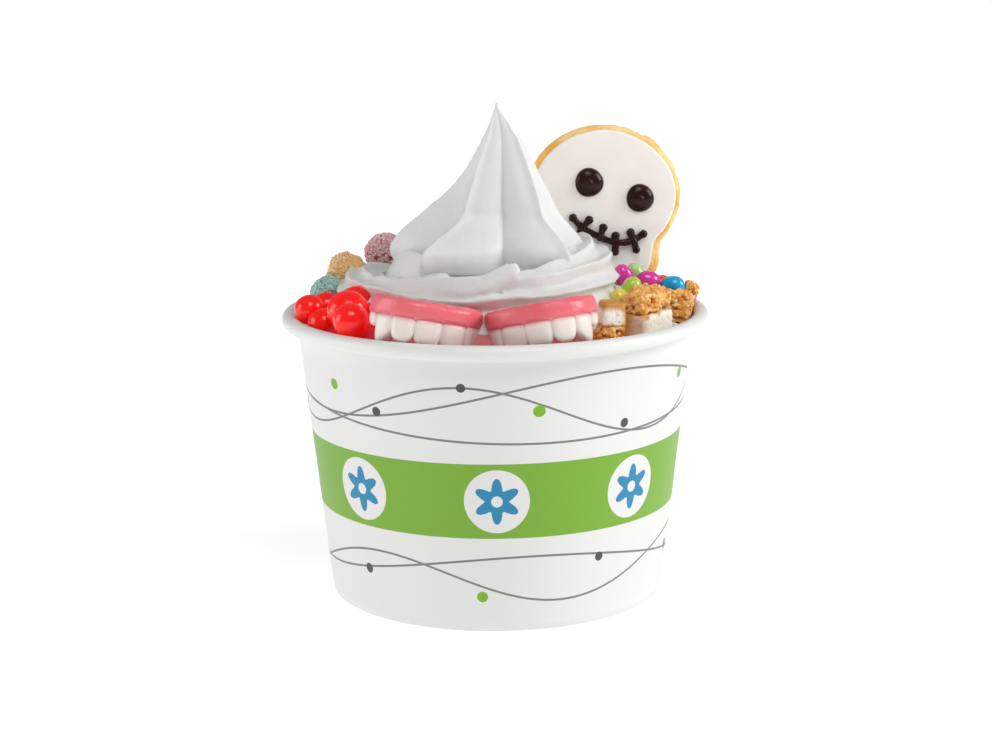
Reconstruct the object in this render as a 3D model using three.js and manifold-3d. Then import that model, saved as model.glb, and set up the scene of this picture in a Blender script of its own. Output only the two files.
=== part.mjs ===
// A paper cup of soft frozen yogurt with sweets round the swirl. Millimetres, +Z up.
// The origin is on the cup's axis, on the surface that the cup stands on, and the cup's front is -Y.
import * as THREE from "three";
import { mergeVertices } from "three/addons/utils/BufferGeometryUtils.js";
import Module from "manifold-3d";

const wasm = await Module();
wasm.setup();

const DEGREE = Math.PI / 180;

// Clearance between touching pieces, and the wider one that the yogurt keeps to what is pressed into it.
const GAP = 0.3;
const ROOM = 0.45;

// Cup: a tapered paperboard wall with a rolled rim, and a base disc held on a folded hem.
const CUP_HEIGHT = 67.5;
const RIM_RADIUS = 50.5;
const ROLL_RADIUS = 1.75;
const BASE_RADIUS = 39.7;
const WALL = 0.6;
const HEM_HEIGHT = 6.5;
const HEM_THICKNESS = 1.4;
const DISC_THICKNESS = 0.7;
const CUP_SIDES = 36;
const ROLL_START = 220 * DEGREE;
const ROLL_TURN = 320 * DEGREE;
const ROLL_STEPS = 6;
const FLARE_LENGTH = 1.5;
const DISC_LIFT = 0.1;
const NECK_RADIUS = RIM_RADIUS - 2 * ROLL_RADIUS;
const ROLL_HEIGHT = CUP_HEIGHT - ROLL_RADIUS;

// Yogurt: the fill, a bed on its crown, a coil laid round the bed, and the fluted peak pulled up over both.
const FILL_RADIUS = 45.9;
const FILL_EDGE_HEIGHT = 61.8;
const FILL_SLOPE = 0.55;
const FILL_CROWN_HEIGHT = 74;
const FILL_CROWN_RADIUS = 24;
const BANK_RADIUS = 39;
const BANK_WIDTH = 5.5;
const BANK_RISE = 3.2;
const FLOOR_HEIGHT = HEM_HEIGHT + DISC_LIFT + DISC_THICKNESS + GAP;
const TIP_HEIGHT = 115;
const TIP_RADIUS = 0.45;
const PEAK_SLOPE = 0.496;
const PEAK_OFFSET = 1.4;
const PETAL_HEIGHT = 82.5;
const PETAL_FOOT = 74;
const PETAL_RISE = 7.5;
const PETAL_REACH = 5.8;
const PETAL_LEAN = 3.8;
const SHOULDER_LENGTH = 12.5;
const SHOULDER_WIDTH = 26;
// The directions of the peak's ridges, in degrees from the front, and how far the grooves go in.
const RIDGES = [-90, -45, 45, 101.25, 157.5, 213.75, 270];
const GROOVE = 0.24;
const BED_HEIGHT = 77.4;
const BED_RADIUS = 25.5;
const COIL_START = -240;
const COIL_END = 200;
const COIL_REACH = 31.5;
const COIL_HEIGHT = 71.2;
const COIL_RISE = 8;
const COIL_RADIUS = 6.3;
const COIL_SWELL = 1.2;
const RIB_DEPTH = 0.1;

// Sweets.
const BALL_RADIUS = 3.5;
const LOW_BALL_REACH = 39.8;
const LOW_BALL_HEIGHT = 62.2;
const EGG = [2.9, 2.05, 2];
const TOOTH_HEIGHT = 5.8;
const GUM_HEIGHT = 3.6;
const ARCH_HALF_WIDTH = 11;
const ARCH_DEPTH = 13.6;
const ARCH_THICKNESS = 4.2;
const ARCH_SWEEP = 78 * DEGREE;
const TOOTH_BULGE = 0.7;
const FANG_LENGTH = 1.2;
const FANG_SHARPNESS = 3.6;
const COOKIE_THICKNESS = 4.6;
const COOKIE_HALF_WIDTH = 19;
const COOKIE_HALF_HEIGHT = 16.9;
const JAW_HALF_WIDTH = 14.4;
const CHIN_DROP = 21.5;
const ICING_THICKNESS = 1.1;
const ICING_INSET = 1.3;
const PIPING_RADIUS = 0.85;

const COLOURS = {
  paper: [0xf4f3f1, 0.55],
  yogurt: [0xf3f2ee, 0.42],
  cherry: [0xe2181a, 0.12],
  gum: [0xf06a7c, 0.25],
  tooth: [0xf1e8e0, 0.3],
  biscuit: [0xdba659, 0.8],
  icing: [0xf3ece8, 0.35],
  chocolate: [0x3a1c14, 0.3],
  crumb: [0xb9793c, 0.9],
  cheesecake: [0xf3dcae, 0.6],
  pink: [0xe339a5, 0.25],
  lime: [0xb2d85a, 0.25],
  blue: [0x1e9fd4, 0.25],
  orange: [0xea5a31, 0.25],
  yellow: [0xf0d568, 0.25],
  sour_red: [0xb8545c, 0.6],
  sour_orange: [0xf0c07a, 0.6],
  sour_teal: [0x7fb9b4, 0.6],
};

// One material of the named colour.
function finish(name) {
  const [color, roughness] = COLOURS[name];
  return new THREE.MeshStandardMaterial({ color, roughness, metalness: 0 });
}

// The closed mesh of a geometry with its shared vertices merged, as a solid.
function solid(geometry) {
  const bare = geometry.clone();
  bare.deleteAttribute("normal");
  bare.deleteAttribute("uv");
  const merged = mergeVertices(bare, 1e-4);
  return new wasm.Manifold(
    new wasm.Mesh({
      numProp: 3,
      vertProperties: new Float32Array(merged.attributes.position.array),
      triVerts: new Uint32Array(merged.index.array),
    }),
  );
}

// A solid's mesh as a geometry.
function surface(body) {
  const mesh = body.getMesh();
  return new THREE.BufferGeometry()
    .setAttribute("position", new THREE.BufferAttribute(mesh.vertProperties, 3))
    .setIndex(new THREE.BufferAttribute(mesh.triVerts, 1));
}

// A closed surface from rings of points: ring i is a closed loop, and each end is closed on its own centre.
function ringed(rings) {
  const count = rings[0].length;
  const last = (rings.length - 1) * count;
  const points = rings.flat();
  for (const ring of [rings[0], rings[rings.length - 1]]) {
    const centre = new THREE.Vector3();
    ring.forEach((p) => centre.addScaledVector(p, 1 / count));
    points.push(centre);
  }
  const faces = [];
  for (let j = 0; j < count; j++) {
    const k = (j + 1) % count;
    for (let a = 0; a < last; a += count)
      faces.push(a + j, a + k, a + count + j, a + k, a + count + k, a + count + j);
    faces.push(points.length - 2, k, j, points.length - 1, last + j, last + k);
  }
  const geometry = new THREE.BufferGeometry().setFromPoints(points).setIndex(faces);
  if (solid(geometry).volume() < 0) {
    for (let i = 0; i < faces.length; i += 3) [faces[i], faces[i + 1]] = [faces[i + 1], faces[i]];
    geometry.setIndex(faces);
  }
  return geometry;
}

// A closed profile of [radius, height] points, turned about the cup's axis.
function turned(profile, sides = CUP_SIDES) {
  const points = profile.map(([r, z]) => new THREE.Vector2(r, z));
  return new THREE.LatheGeometry(points, sides).rotateX(Math.PI / 2);
}

// How far the wall's outside is from the axis at a height.
function wallRadius(z) {
  return BASE_RADIUS + ((NECK_RADIUS - BASE_RADIUS) * z) / ROLL_HEIGHT;
}

// The wall: outside, rolled rim, inside, and the hem folded in at the foot.
function cupWall() {
  const profile = [[BASE_RADIUS, 0]];
  const rollCentre = RIM_RADIUS - ROLL_RADIUS;
  for (let i = 0; i <= ROLL_STEPS; i++) {
    const a = ROLL_START + (ROLL_TURN * i) / ROLL_STEPS;
    profile.push([rollCentre + ROLL_RADIUS * Math.cos(a), ROLL_HEIGHT + ROLL_RADIUS * Math.sin(a)]);
  }
  const flareHeight = ROLL_HEIGHT - FLARE_LENGTH;
  profile.push([wallRadius(flareHeight) - WALL, flareHeight]);
  profile.push([wallRadius(HEM_HEIGHT) - WALL, HEM_HEIGHT]);
  profile.push([wallRadius(HEM_HEIGHT) - HEM_THICKNESS, HEM_HEIGHT]);
  profile.push([BASE_RADIUS - HEM_THICKNESS, 0]);
  profile.push([BASE_RADIUS, 0]);
  return turned(profile);
}

// The base disc, which lies on the hem.
function cupBase() {
  const low = HEM_HEIGHT + DISC_LIFT;
  const radius = wallRadius(low) - WALL - GAP;
  const high = low + DISC_THICKNESS;
  return turned([[0, low], [radius, low], [radius, high], [0, high]]);
}

// The fill's top climbs from the wall to the crown. A bank carries the sweets on both sides, and leaves
// the front to the dentures and a bare stretch at the back.
function fillHeight(r, theta) {
  const climb = Math.min(FILL_EDGE_HEIGHT + FILL_SLOPE * (FILL_RADIUS - r), FILL_CROWN_HEIGHT);
  const fromFront = Math.acos(-Math.sin(theta)) / DEGREE;
  const side = THREE.MathUtils.smoothstep(fromFront, 70, 100) - THREE.MathUtils.smoothstep(fromFront, 140, 160);
  return climb + BANK_RISE * side * Math.exp(-(((r - BANK_RADIUS) / BANK_WIDTH) ** 2));
}

// The fill: the inside of the cup up to that top.
function fill() {
  const radii = [FILL_RADIUS, 43, 39, 34, FILL_CROWN_RADIUS];
  const ring = (r, height) =>
    Array.from({ length: CUP_SIDES }, (_, j) => {
      const theta = (2 * Math.PI * j) / CUP_SIDES;
      const z = height ?? fillHeight(r, theta);
      return new THREE.Vector3(r * Math.cos(theta), r * Math.sin(theta), z);
    });
  const floor = ring(wallRadius(FLOOR_HEIGHT) - WALL - GAP, FLOOR_HEIGHT);
  return ringed([floor, ...radii.map((r) => ring(r))]);
}

// A smooth step from 0 to 1 as x goes from 0 to 1.
const ease = (x) => THREE.MathUtils.smoothstep(x, 0, 1);

// The peak's reach from its own axis at a height and an angle from the front: a cone whose foot flares into
// petals and rounds under them. The flare is widest at the left, where it also starts highest.
function peakReach(z, fromFront) {
  const rise = PETAL_RISE + SHOULDER_LENGTH * Math.exp(-(((fromFront + 92) / SHOULDER_WIDTH) ** 2));
  const petals = PETAL_REACH + PETAL_LEAN * Math.cos((fromFront + 70) * DEGREE);
  const flare = petals * ease((PETAL_HEIGHT + rise - z) / rise);
  const under = Math.max(PETAL_HEIGHT - z, 0) / (PETAL_HEIGHT - PETAL_FOOT);
  const reach = PEAK_SLOPE * (TIP_HEIGHT - z) + flare;
  return Math.max(reach * Math.sqrt(1 - Math.min(under, 0.98) ** 2), TIP_RADIUS);
}

// How far a direction is drawn in from the line of the ridges: none on a ridge, and most half way between
// two, where the groove lies a little inside the straight line that joins them.
function grooveDepth(fromFront) {
  const angle = THREE.MathUtils.euclideanModulo(fromFront - RIDGES[0], 360) + RIDGES[0];
  const next = RIDGES.findIndex((ridge) => ridge > angle);
  const gap = RIDGES[next] - RIDGES[next - 1];
  const toRidge = 1 - Math.abs((2 * (angle - RIDGES[next - 1])) / gap - 1);
  return (1 - (1 - GROOVE) * Math.cos((gap / 2) * DEGREE)) * toRidge;
}

// The peak: sharp ridges with grooves between them.
function peak() {
  const heights = [74.4, 76, 79, 82.5, 85, 88, 92, 97, 104, 110, TIP_HEIGHT];
  const upright = 9;
  const steps = 32;
  return ringed(
    heights.map((z) => {
      const offset = PEAK_OFFSET * ease((TIP_HEIGHT - z) / upright);
      return Array.from({ length: steps }, (_, j) => {
        const fromFront = (360 * j) / steps - 180;
        const reach = peakReach(z, fromFront) * (1 - grooveDepth(fromFront));
        const theta = (fromFront - 90) * DEGREE;
        return new THREE.Vector3(offset + reach * Math.cos(theta), reach * Math.sin(theta), z);
      });
    }),
  );
}

// The bed: a round pad of yogurt under the peak's foot.
function bed() {
  const edge = 4;
  const foot = FILL_CROWN_HEIGHT - edge;
  const side = [[BED_RADIUS, foot], [BED_RADIUS, BED_HEIGHT - edge], [BED_RADIUS - edge, BED_HEIGHT]];
  return turned([[0, foot], ...side, [0, BED_HEIGHT]], 24);
}

// The coil: a ribbed rope that starts behind the left, dips a little as it crosses the front, climbs and
// swells at the right, and tucks its end in behind.
function coil() {
  const steps = Math.round((COIL_END - COIL_START) / 20);
  const sides = 8;
  const rings = [];
  for (let i = 0; i <= steps; i++) {
    const angle = COIL_START + ((COIL_END - COIL_START) * i) / steps;
    const t = i / steps;
    const drawnIn = 5.5 * ease((angle + 180) / 50) + 4.5 * ease((angle + 130) / 120) + 4.5 * ease(angle / 200);
    const dip = 1.4 * Math.exp(-(((angle + 120) / 40) ** 2));
    const z = COIL_HEIGHT + COIL_RISE * ease((angle + 150) / 300) - dip;
    const taper = Math.sqrt(Math.min(1, 9 * t + 0.04, 8 * (1 - t) + 0.04));
    const swell = COIL_SWELL * (ease((angle + 180) / 70) - ease((angle - 40) / 160));
    const thick = (COIL_RADIUS + swell) * taper;
    const out = new THREE.Vector3(Math.cos(angle * DEGREE), Math.sin(angle * DEGREE), 0);
    rings.push(
      Array.from({ length: sides }, (_, j) => {
        const a = (2 * Math.PI * j) / sides;
        const r = thick * (1 - RIB_DEPTH * (j % 2));
        const reach = COIL_REACH - drawnIn + r * Math.cos(a);
        return out.clone().multiplyScalar(reach).setZ(z + r * Math.sin(a));
      }),
    );
  }
  return ringed(rings);
}

// A ball squashed to the given half sizes.
function ellipsoid(halfSizes) {
  return new THREE.IcosahedronGeometry(1, 1).scale(...halfSizes);
}

// Where along a denture's arch, from 0 at its middle to 1 at its end, each tooth ends.
const TOOTH_ENDS = [0.28, 0.52, 0.75, 0.95];

// A tooth's edge and bulge at place t along the arch: the third from the middle is a pointed fang.
function tooth(t) {
  const place = Math.abs(t);
  const index = Math.max(TOOTH_ENDS.findIndex((end) => place <= end), 0);
  const start = index ? TOOTH_ENDS[index - 1] : 0;
  const across = (2 * (place - start)) / (TOOTH_ENDS[index] - start) - 1;
  const fang = index === 2;
  const point = fang ? FANG_SHARPNESS * Math.abs(across) - FANG_LENGTH : 0.9 * across ** 4;
  const short = index === 3 ? 2.2 : 0;
  return { edge: point + short, bulge: TOOTH_BULGE * (1 - across ** 4) };
}

// A point of the arch at place t, set out from its centre line and at a height.
function archPoint(t, out, z) {
  const a = t * ARCH_SWEEP;
  const x = (ARCH_HALF_WIDTH + out) * Math.sin(a);
  const y = ARCH_DEPTH - (ARCH_DEPTH + out) * Math.cos(a);
  return new THREE.Vector3(x, y, z);
}

// A denture's row of eight teeth: one moulded strip with a bulge and an edge of its own for each tooth.
function teeth() {
  const ends = TOOTH_ENDS.flatMap((end, i) => {
    const start = i ? TOOTH_ENDS[i - 1] : 0;
    return [0.08, 0.5, 0.92].map((share) => start + (end - start) * share);
  });
  const places = [...ends.map((t) => -t).reverse(), ...ends];
  const half = ARCH_THICKNESS / 2;
  return ringed(
    places.map((t) => {
      const { edge, bulge } = tooth(t);
      return [
        archPoint(t, -half, TOOTH_HEIGHT),
        archPoint(t, half - 0.5 + bulge * 0.5, TOOTH_HEIGHT),
        archPoint(t, half - 0.3 + bulge, (TOOTH_HEIGHT + edge) / 2),
        archPoint(t, half - 0.9 + bulge, edge),
        archPoint(t, -half, edge + 0.8),
      ];
    }),
  );
}

// A denture's gum: a rounded band above the teeth.
function gum() {
  const rings = [];
  for (let i = 0; i <= 12; i++) {
    const t = 0.97 * (i / 6 - 1);
    const low = TOOTH_HEIGHT + GAP;
    const end = 1 - 0.25 * Math.abs(t) ** 6;
    const half = (ARCH_THICKNESS / 2 + 0.3) * end;
    rings.push(
      [[-1, 0], [1, 0], [1.12, 0.35], [1, 0.7], [0.6, 1], [-0.5, 1], [-0.95, 0.75]].map(([out, up]) =>
        archPoint(t, out * half, low + GUM_HEIGHT * up * end),
      ),
    );
  }
  return ringed(rings);
}

// The room that a denture takes: a band of plain section along the same arch.
function dentureRoom() {
  const half = ARCH_THICKNESS / 2 + ROOM;
  const top = TOOTH_HEIGHT + GAP + GUM_HEIGHT + ROOM;
  const rings = [];
  for (let t = -1.02; t < 1.03; t += 0.34)
    rings.push([[-1, -1.8], [1.4, -1.8], [1.4, top], [-1, top]].map(([out, z]) => archPoint(t, out * half, z)));
  return ringed(rings);
}

// The cookie's outline: a wide cranium over a narrower square jaw, drawn in by an inset.
function skull(inset) {
  const shape = new THREE.Shape();
  const wide = COOKIE_HALF_WIDTH - inset;
  const high = COOKIE_HALF_HEIGHT - inset;
  const jaw = JAW_HALF_WIDTH - inset;
  const chin = inset - CHIN_DROP;
  const start = -40 * DEGREE;
  shape.moveTo(wide * Math.cos(start), high * Math.sin(start));
  shape.absellipse(0, 0, wide, high, start, Math.PI - start, false, 0);
  shape.quadraticCurveTo(-jaw - 0.4, -12.5, -jaw, -14.5);
  shape.lineTo(-jaw, chin + 5);
  shape.quadraticCurveTo(-jaw, chin, -jaw + 6, chin);
  shape.lineTo(jaw - 6, chin);
  shape.quadraticCurveTo(jaw, chin, jaw, chin + 5);
  shape.lineTo(jaw, -14.5);
  shape.quadraticCurveTo(jaw + 0.4, -12.5, wide * Math.cos(start), high * Math.sin(start));
  return shape;
}

// A slab of that outline standing up, its front at y = front and its back at y = back.
function slab(inset, front, back, bevel, curveSegments = 6) {
  const options = {
    curveSegments,
    depth: back - front - 2 * bevel,
    bevelThickness: bevel,
    bevelSize: bevel,
    bevelOffset: -bevel,
    bevelSegments: 1,
  };
  return new THREE.ExtrudeGeometry(skull(inset), options).rotateX(Math.PI / 2).translate(0, back - bevel, 0);
}

// A bar between two points of the cookie's face, given as [x, z].
function piped([x0, z0], [x1, z1], y) {
  const run = new THREE.Vector3(x1 - x0, 0, z1 - z0);
  const bar = new THREE.CylinderGeometry(PIPING_RADIUS, PIPING_RADIUS, run.length(), 4);
  const turn = new THREE.Quaternion().setFromUnitVectors(new THREE.Vector3(0, 1, 0), run.normalize());
  return bar.applyQuaternion(turn).translate((x0 + x1) / 2, y, (z0 + z1) / 2);
}

// The piped mouth: a smile crossed by four stitches.
function mouth(y) {
  const smile = [[-8.7, -5], [-5.5, -8], [-1.2, -10.2], [2.5, -11.3], [6.4, -11], [10.3, -8.6]];
  const stitches = [[[-3.4, -5.3], [-6.6, -9.9]], [[-0.2, -6.9], [-1.4, -11.2]], [[2.5, -8.7], [2.5, -14.6]],
    [[5.8, -7.9], [8, -13.9]]];
  const bars = smile.slice(1).map((p, i) => [smile[i], p]).concat(stitches);
  return surface(bars.map(([a, b]) => solid(piped(a, b, y))).reduce((all, bar) => all.add(bar)));
}

// A rough block: a box whose skin points are pushed about by a repeating unevenness.
function block([x, y, z], rough, cuts, seed) {
  const geometry = new THREE.BoxGeometry(x, y, z, ...cuts);
  const p = geometry.attributes.position;
  const v = new THREE.Vector3();
  for (let i = 0; i < p.count; i++) {
    v.fromBufferAttribute(p, i);
    const wave = (a, b) => rough * Math.sin(seed + a * 1.9 + b * 2.7) * Math.cos(seed * 2 + b * 1.3 - a);
    const round = 1 - 0.05 * ((2 * v.x) / x) ** 2 * ((2 * v.y) / y) ** 2;
    p.setXYZ(i, v.x * round + wave(v.y, v.z), v.y * round + wave(v.z, v.x), v.z + wave(v.x, v.y) / 2);
  }
  return geometry;
}

// A bite of baked cheesecake, its crumb crust above the filling.
function cheesecake([x, y, z], crustShare, seed) {
  const crust = z * crustShare;
  const filling = z - crust - GAP - 0.5;
  return {
    crust: block([x, y, crust], 0.35, [3, 3, 2], seed).translate(0, 0, (z - crust) / 2),
    filling: block([x - 0.5, y - 0.5, filling], 0.15, [2, 2, 2], seed + 1).translate(0, 0, (filling - z) / 2),
  };
}

const cup = new THREE.Group();
const hollows = [];

// Adds one named piece at a place, turned by the given angles in degrees about X, Y and Z.
function add(name, colour, geometry, place = [0, 0, 0], turn = [0, 0, 0]) {
  const mesh = new THREE.Mesh(geometry, finish(colour));
  mesh.name = name;
  mesh.position.set(...place);
  mesh.rotation.set(...turn.map((angle) => angle * DEGREE), "ZYX");
  cup.add(mesh);
}

// Keeps room in the yogurt for a piece there: a plainer shape that is a little larger than the piece.
function makeRoom(geometry, place, turn = [0, 0, 0]) {
  const spin = new THREE.Euler(...turn.map((angle) => angle * DEGREE), "ZYX");
  const matrix = new THREE.Matrix4().makeRotationFromEuler(spin).setPosition(...place);
  hollows.push(solid(geometry.applyMatrix4(matrix)));
}

// Adds a rounded sweet and keeps its room.
function addRound(name, colour, halfSizes, place, turn) {
  add(name, colour, ellipsoid(halfSizes), place, turn);
  makeRoom(ellipsoid(halfSizes.map((half) => half + ROOM)), place, turn);
}

// Cherry balls: a heap at the left of the front, and a few inside the rim below the dentures. [place, radius]
const balls = [
  [[-32.2, -31.2, 70.0], 3.76], [[-33.4, -22.0, 70.4], 4.5], [[-31.7, -13.0, 71.9], 3.64],
  [[-39.3, -17.4, 66.9], 3.5], [[-43.3, -11.4, 69.1], 3.2], [[-39.8, -5.0, 68.4], 3.4],
  [[-33.0, -26.5, 62.8], 3.4],
];
for (const angle of [-131, -119, -73, -61]) {
  const [x, y] = [Math.cos(angle * DEGREE), Math.sin(angle * DEGREE)];
  balls.push([[LOW_BALL_REACH * x, LOW_BALL_REACH * y, LOW_BALL_HEIGHT], BALL_RADIUS]);
}
balls.forEach(([place, r], i) => addRound(`cherry_ball_${i + 1}`, "cherry", [r, r, r], place));

// Two jelly dentures side by side at the front, each dipping towards the other. [side, place, turn]
const dentures = [
  ["left", [-13, -40.5, 65.6], [-5, 12.6, 21]],
  ["right", [7.8, -41.5, 65.4], [-7, -13.2, -21]],
];
for (const [side, place, turn] of dentures) {
  add(`denture_${side}_teeth`, "tooth", teeth(), place, turn);
  add(`denture_${side}_gum`, "gum", gum(), place, turn);
  makeRoom(dentureRoom(), place, turn);
}

// The skull cookie stands at the back of the right side.
const cookiePlace = [26.8, 15.5, 92];
const cookieTurn = [-6, 3, 7];
const faceFront = -ICING_THICKNESS - GAP;
add("cookie_biscuit", "biscuit", slab(0, 0, COOKIE_THICKNESS, 0.8), cookiePlace, cookieTurn);
add("cookie_icing", "icing", slab(ICING_INSET, faceFront, -GAP, 0.5), cookiePlace, cookieTurn);
for (const [side, x, z, r] of [["left", -4.2, 2.9, 3.5], ["right", 8.4, -0.5, 3.4]]) {
  const profile = [[0, 0], [r, 0], [r * 0.9, 1], [r * 0.45, 1.9], [0, 2.1]];
  const dome = turned(profile, 12).rotateX(Math.PI / 2).translate(x, faceFront - GAP, z);
  add(`cookie_eye_${side}`, "chocolate", dome, cookiePlace, cookieTurn);
}
add("cookie_mouth", "chocolate", mouth(faceFront - GAP - PIPING_RADIUS), cookiePlace, cookieTurn);
makeRoom(slab(-2 * ROOM, faceFront - ROOM, COOKIE_THICKNESS + ROOM, 0.1, 4), cookiePlace, cookieTurn);

// Cheesecake bites along the right and one at the back; the first lies crust down.
// [place, size, the crust's share of the height, turn]
const bites = [
  [[25.7, -31.0, 68.7], [5.8, 6.4, 9.8], 0.52, [180, 4, 12]],
  [[34.0, -19.4, 68.8], [12, 8.8, 11], 0.4, [3, -2, 48]],
  [[42.4, -7.3, 67.4], [6.4, 6.4, 8.4], 0.8, [0, 10, -8]],
  [[45.8, 0.6, 69.0], [3.4, 6, 7], 0.3, [0, 18, 0]],
  [[28.8, 29.6, 68.2], [8.4, 8.2, 8.8], 0.45, [0, 0, 45]],
];
bites.forEach(([place, size, share, turn], i) => {
  const bite = cheesecake(size, share, i);
  add(`cheesecake_${i + 1}_crust`, "crumb", bite.crust, place, turn);
  add(`cheesecake_${i + 1}_filling`, "cheesecake", bite.filling, place, turn);
  makeRoom(new THREE.BoxGeometry(...size.map((length) => length + 2 * ROOM)), place, turn);
});

// Candy eggs heaped on the right, in front of the cookie and behind it. [colour, place, turn]
const eggs = [
  ["pink", [30.5, -1.6, 74.9], [0, 62, 20]], ["lime", [31.7, -8.2, 72.9], [0, -60, 15]],
  ["lime", [33.7, 4.6, 74.3], [10, 50, 40]], ["pink", [36.2, -1.2, 73.7], [0, 12, 10]],
  ["orange", [39.7, 3.8, 71.9], [0, 8, 40]], ["blue", [42.0, -1.6, 72.5], [0, 6, -14]],
  ["yellow", [29.0, -13.0, 71.0], [0, 70, 0]], ["blue", [38.6, 9.0, 69.6], [0, 10, 70]],
  ["pink", [36.6, 21.6, 69.4], [0, 10, 50]], ["blue", [19.4, 27.4, 72.2], [0, -8, -20]],
  ["lime", [20.4, 34.2, 69.2], [0, 30, 10]], ["orange", [40.6, 15.6, 68.2], [0, 5, -60]],
];
eggs.forEach(([colour, place, turn], i) => addRound(`candy_egg_${i + 1}`, colour, EGG, place, turn));

// Sugared jellies from the left round to the back. [colour, half sizes, place, turn]
const jellies = [
  ["sour_red", [3.6, 3.6, 4.8], [-27.6, 17.0, 78.8], [0, 35, 0]],
  ["sour_orange", [4.4, 4, 4.6], [-35.5, 8.8, 74.6], [0, 20, 0]],
  ["sour_teal", [4, 3, 2.6], [-40.5, 2.6, 71.5], [0, -38, 10]],
  ["sour_orange", [4.2, 4, 5], [-22.4, 31.2, 71.6], [-18, 0, 30]],
  ["sour_teal", [3.6, 3.6, 4.6], [-33.6, 22.6, 70.6], [10, -20, 0]],
];
jellies.forEach(([colour, half, place, turn], i) => addRound(`sour_jelly_${i + 1}`, colour, half, place, turn));

// The yogurt is one solid, hollowed where the sweets are pressed into it.
const whole = [bed(), coil(), peak()].reduce((all, shape) => all.add(solid(shape)), solid(fill()));
const pressed = hollows.reduce((left, room) => left.subtract(room), whole);
const largest = pressed.decompose().sort((a, b) => b.volume() - a.volume())[0];
add("yogurt", "yogurt", surface(largest));

add("cup_wall", "paper", cupWall());
add("cup_base", "paper", cupBase());

export default cup;
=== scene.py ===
"""A paper cup of soft-serve frozen yogurt with sweets, cheesecake bites and an iced cookie.

Shapes are worked out in millimetres and put into meshes in metres. +Z is up, and the cup's front is -Y.
"""
from itertools import product
from math import pi, radians

import bpy
import numpy as np
from mathutils import Euler, Matrix, Vector


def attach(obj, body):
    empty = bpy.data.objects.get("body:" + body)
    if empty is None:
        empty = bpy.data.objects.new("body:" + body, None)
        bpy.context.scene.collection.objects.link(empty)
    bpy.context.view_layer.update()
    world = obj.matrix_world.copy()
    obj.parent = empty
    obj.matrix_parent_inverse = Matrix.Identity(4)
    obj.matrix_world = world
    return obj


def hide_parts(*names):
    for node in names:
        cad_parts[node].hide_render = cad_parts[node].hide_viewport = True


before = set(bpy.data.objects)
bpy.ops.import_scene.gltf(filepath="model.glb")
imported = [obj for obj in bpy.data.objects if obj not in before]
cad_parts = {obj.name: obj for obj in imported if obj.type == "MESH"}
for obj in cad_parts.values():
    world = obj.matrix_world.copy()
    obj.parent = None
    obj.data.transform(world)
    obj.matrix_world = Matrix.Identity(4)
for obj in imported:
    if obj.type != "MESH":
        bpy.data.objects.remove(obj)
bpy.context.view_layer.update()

# ---------------------------------------------------------------------------
# The cup's wall: white coated paperboard, printed, wrapped into a cone with a glued side seam at the back.
# Its mouth is rolled outwards into a round rim and its foot is folded in round the base disc.

CUP_HEIGHT = 67.5
RIM_RADIUS = 50.5
ROLL_RADIUS = 1.75
BASE_RADIUS = 39.7
WALL = 0.6
HEM_HEIGHT = 6.5
HEM_THICKNESS = 1.4
NECK_RADIUS = RIM_RADIUS - 2 * ROLL_RADIUS
ROLL_HEIGHT = CUP_HEIGHT - ROLL_RADIUS
SEAM_WIDTH = 7.0
SEAM_STEP = 0.3
WALL_ROWS = 40


def columns(*values):
    """Arrays of like shape side by side: each is one column of the result."""
    return np.stack(np.broadcast_arrays(*values), axis=-1)


def placed(name, data):
    """A new object in the scene that shows a mesh, a camera or a light."""
    made = bpy.data.objects.new(name, data)
    bpy.context.scene.collection.objects.link(made)
    return made


def meshed(name, points, faces):
    """An object with a mesh of those points, in millimetres, and faces."""
    mesh = bpy.data.meshes.new(name)
    mesh.from_pydata(points * 0.001, [], faces)
    return placed(name, mesh)


def skin(name, rings, loop=False):
    """A closed mesh over rings[i, j], where j goes round each ring. The two end rings are closed on their
    own centres, unless loop joins the last ring to the first. Its faces are turned to point outwards."""
    n, m = rings.shape[:2]
    points = rings.reshape(-1, 3)
    i = np.arange(n if loop else n - 1)[:, None]
    j = np.arange(m)
    after = (j + 1) % m
    quads = columns(i * m + j, i * m + after, (i + 1) % n * m + after, (i + 1) % n * m + j).reshape(-1, 4)
    fans = np.empty((0, 3), int)
    if not loop:
        points = np.vstack([points, rings[0].mean(0), rings[-1].mean(0)])
        last = (n - 1) * m
        fans = np.vstack([columns(after, j, n * m), columns(last + j, last + after, n * m + 1)])
    triangles = np.vstack([quads[:, :3], quads[:, [0, 2, 3]], fans])
    a, b, c = points[triangles].swapaxes(0, 1)
    if np.einsum("ij,ij->", a, np.cross(b, c)) < 0:
        quads, fans = quads[:, ::-1], fans[:, ::-1]
    piece = meshed(name, points, quads.tolist() + fans.tolist())
    piece.data.shade_smooth()
    return piece


def circle(count):
    """That many angles once round, in a row."""
    return np.linspace(0, 2 * pi, count, endpoint=False)[None, :]


def turned(radius, angle, z):
    """Points at a distance from the axis, an angle round it and a height."""
    return columns(radius * np.cos(angle), radius * np.sin(angle), z)


def linear(sheet):
    """The linear colour of an sRGB hex value."""
    srgb = np.array([int(sheet[k : k + 2], 16) for k in (1, 3, 5)]) / 255
    low = srgb / 12.92
    high = ((srgb + 0.055) / 1.055) ** 2.4
    return (*np.where(srgb <= 0.04045, low, high), 1.0)


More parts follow.
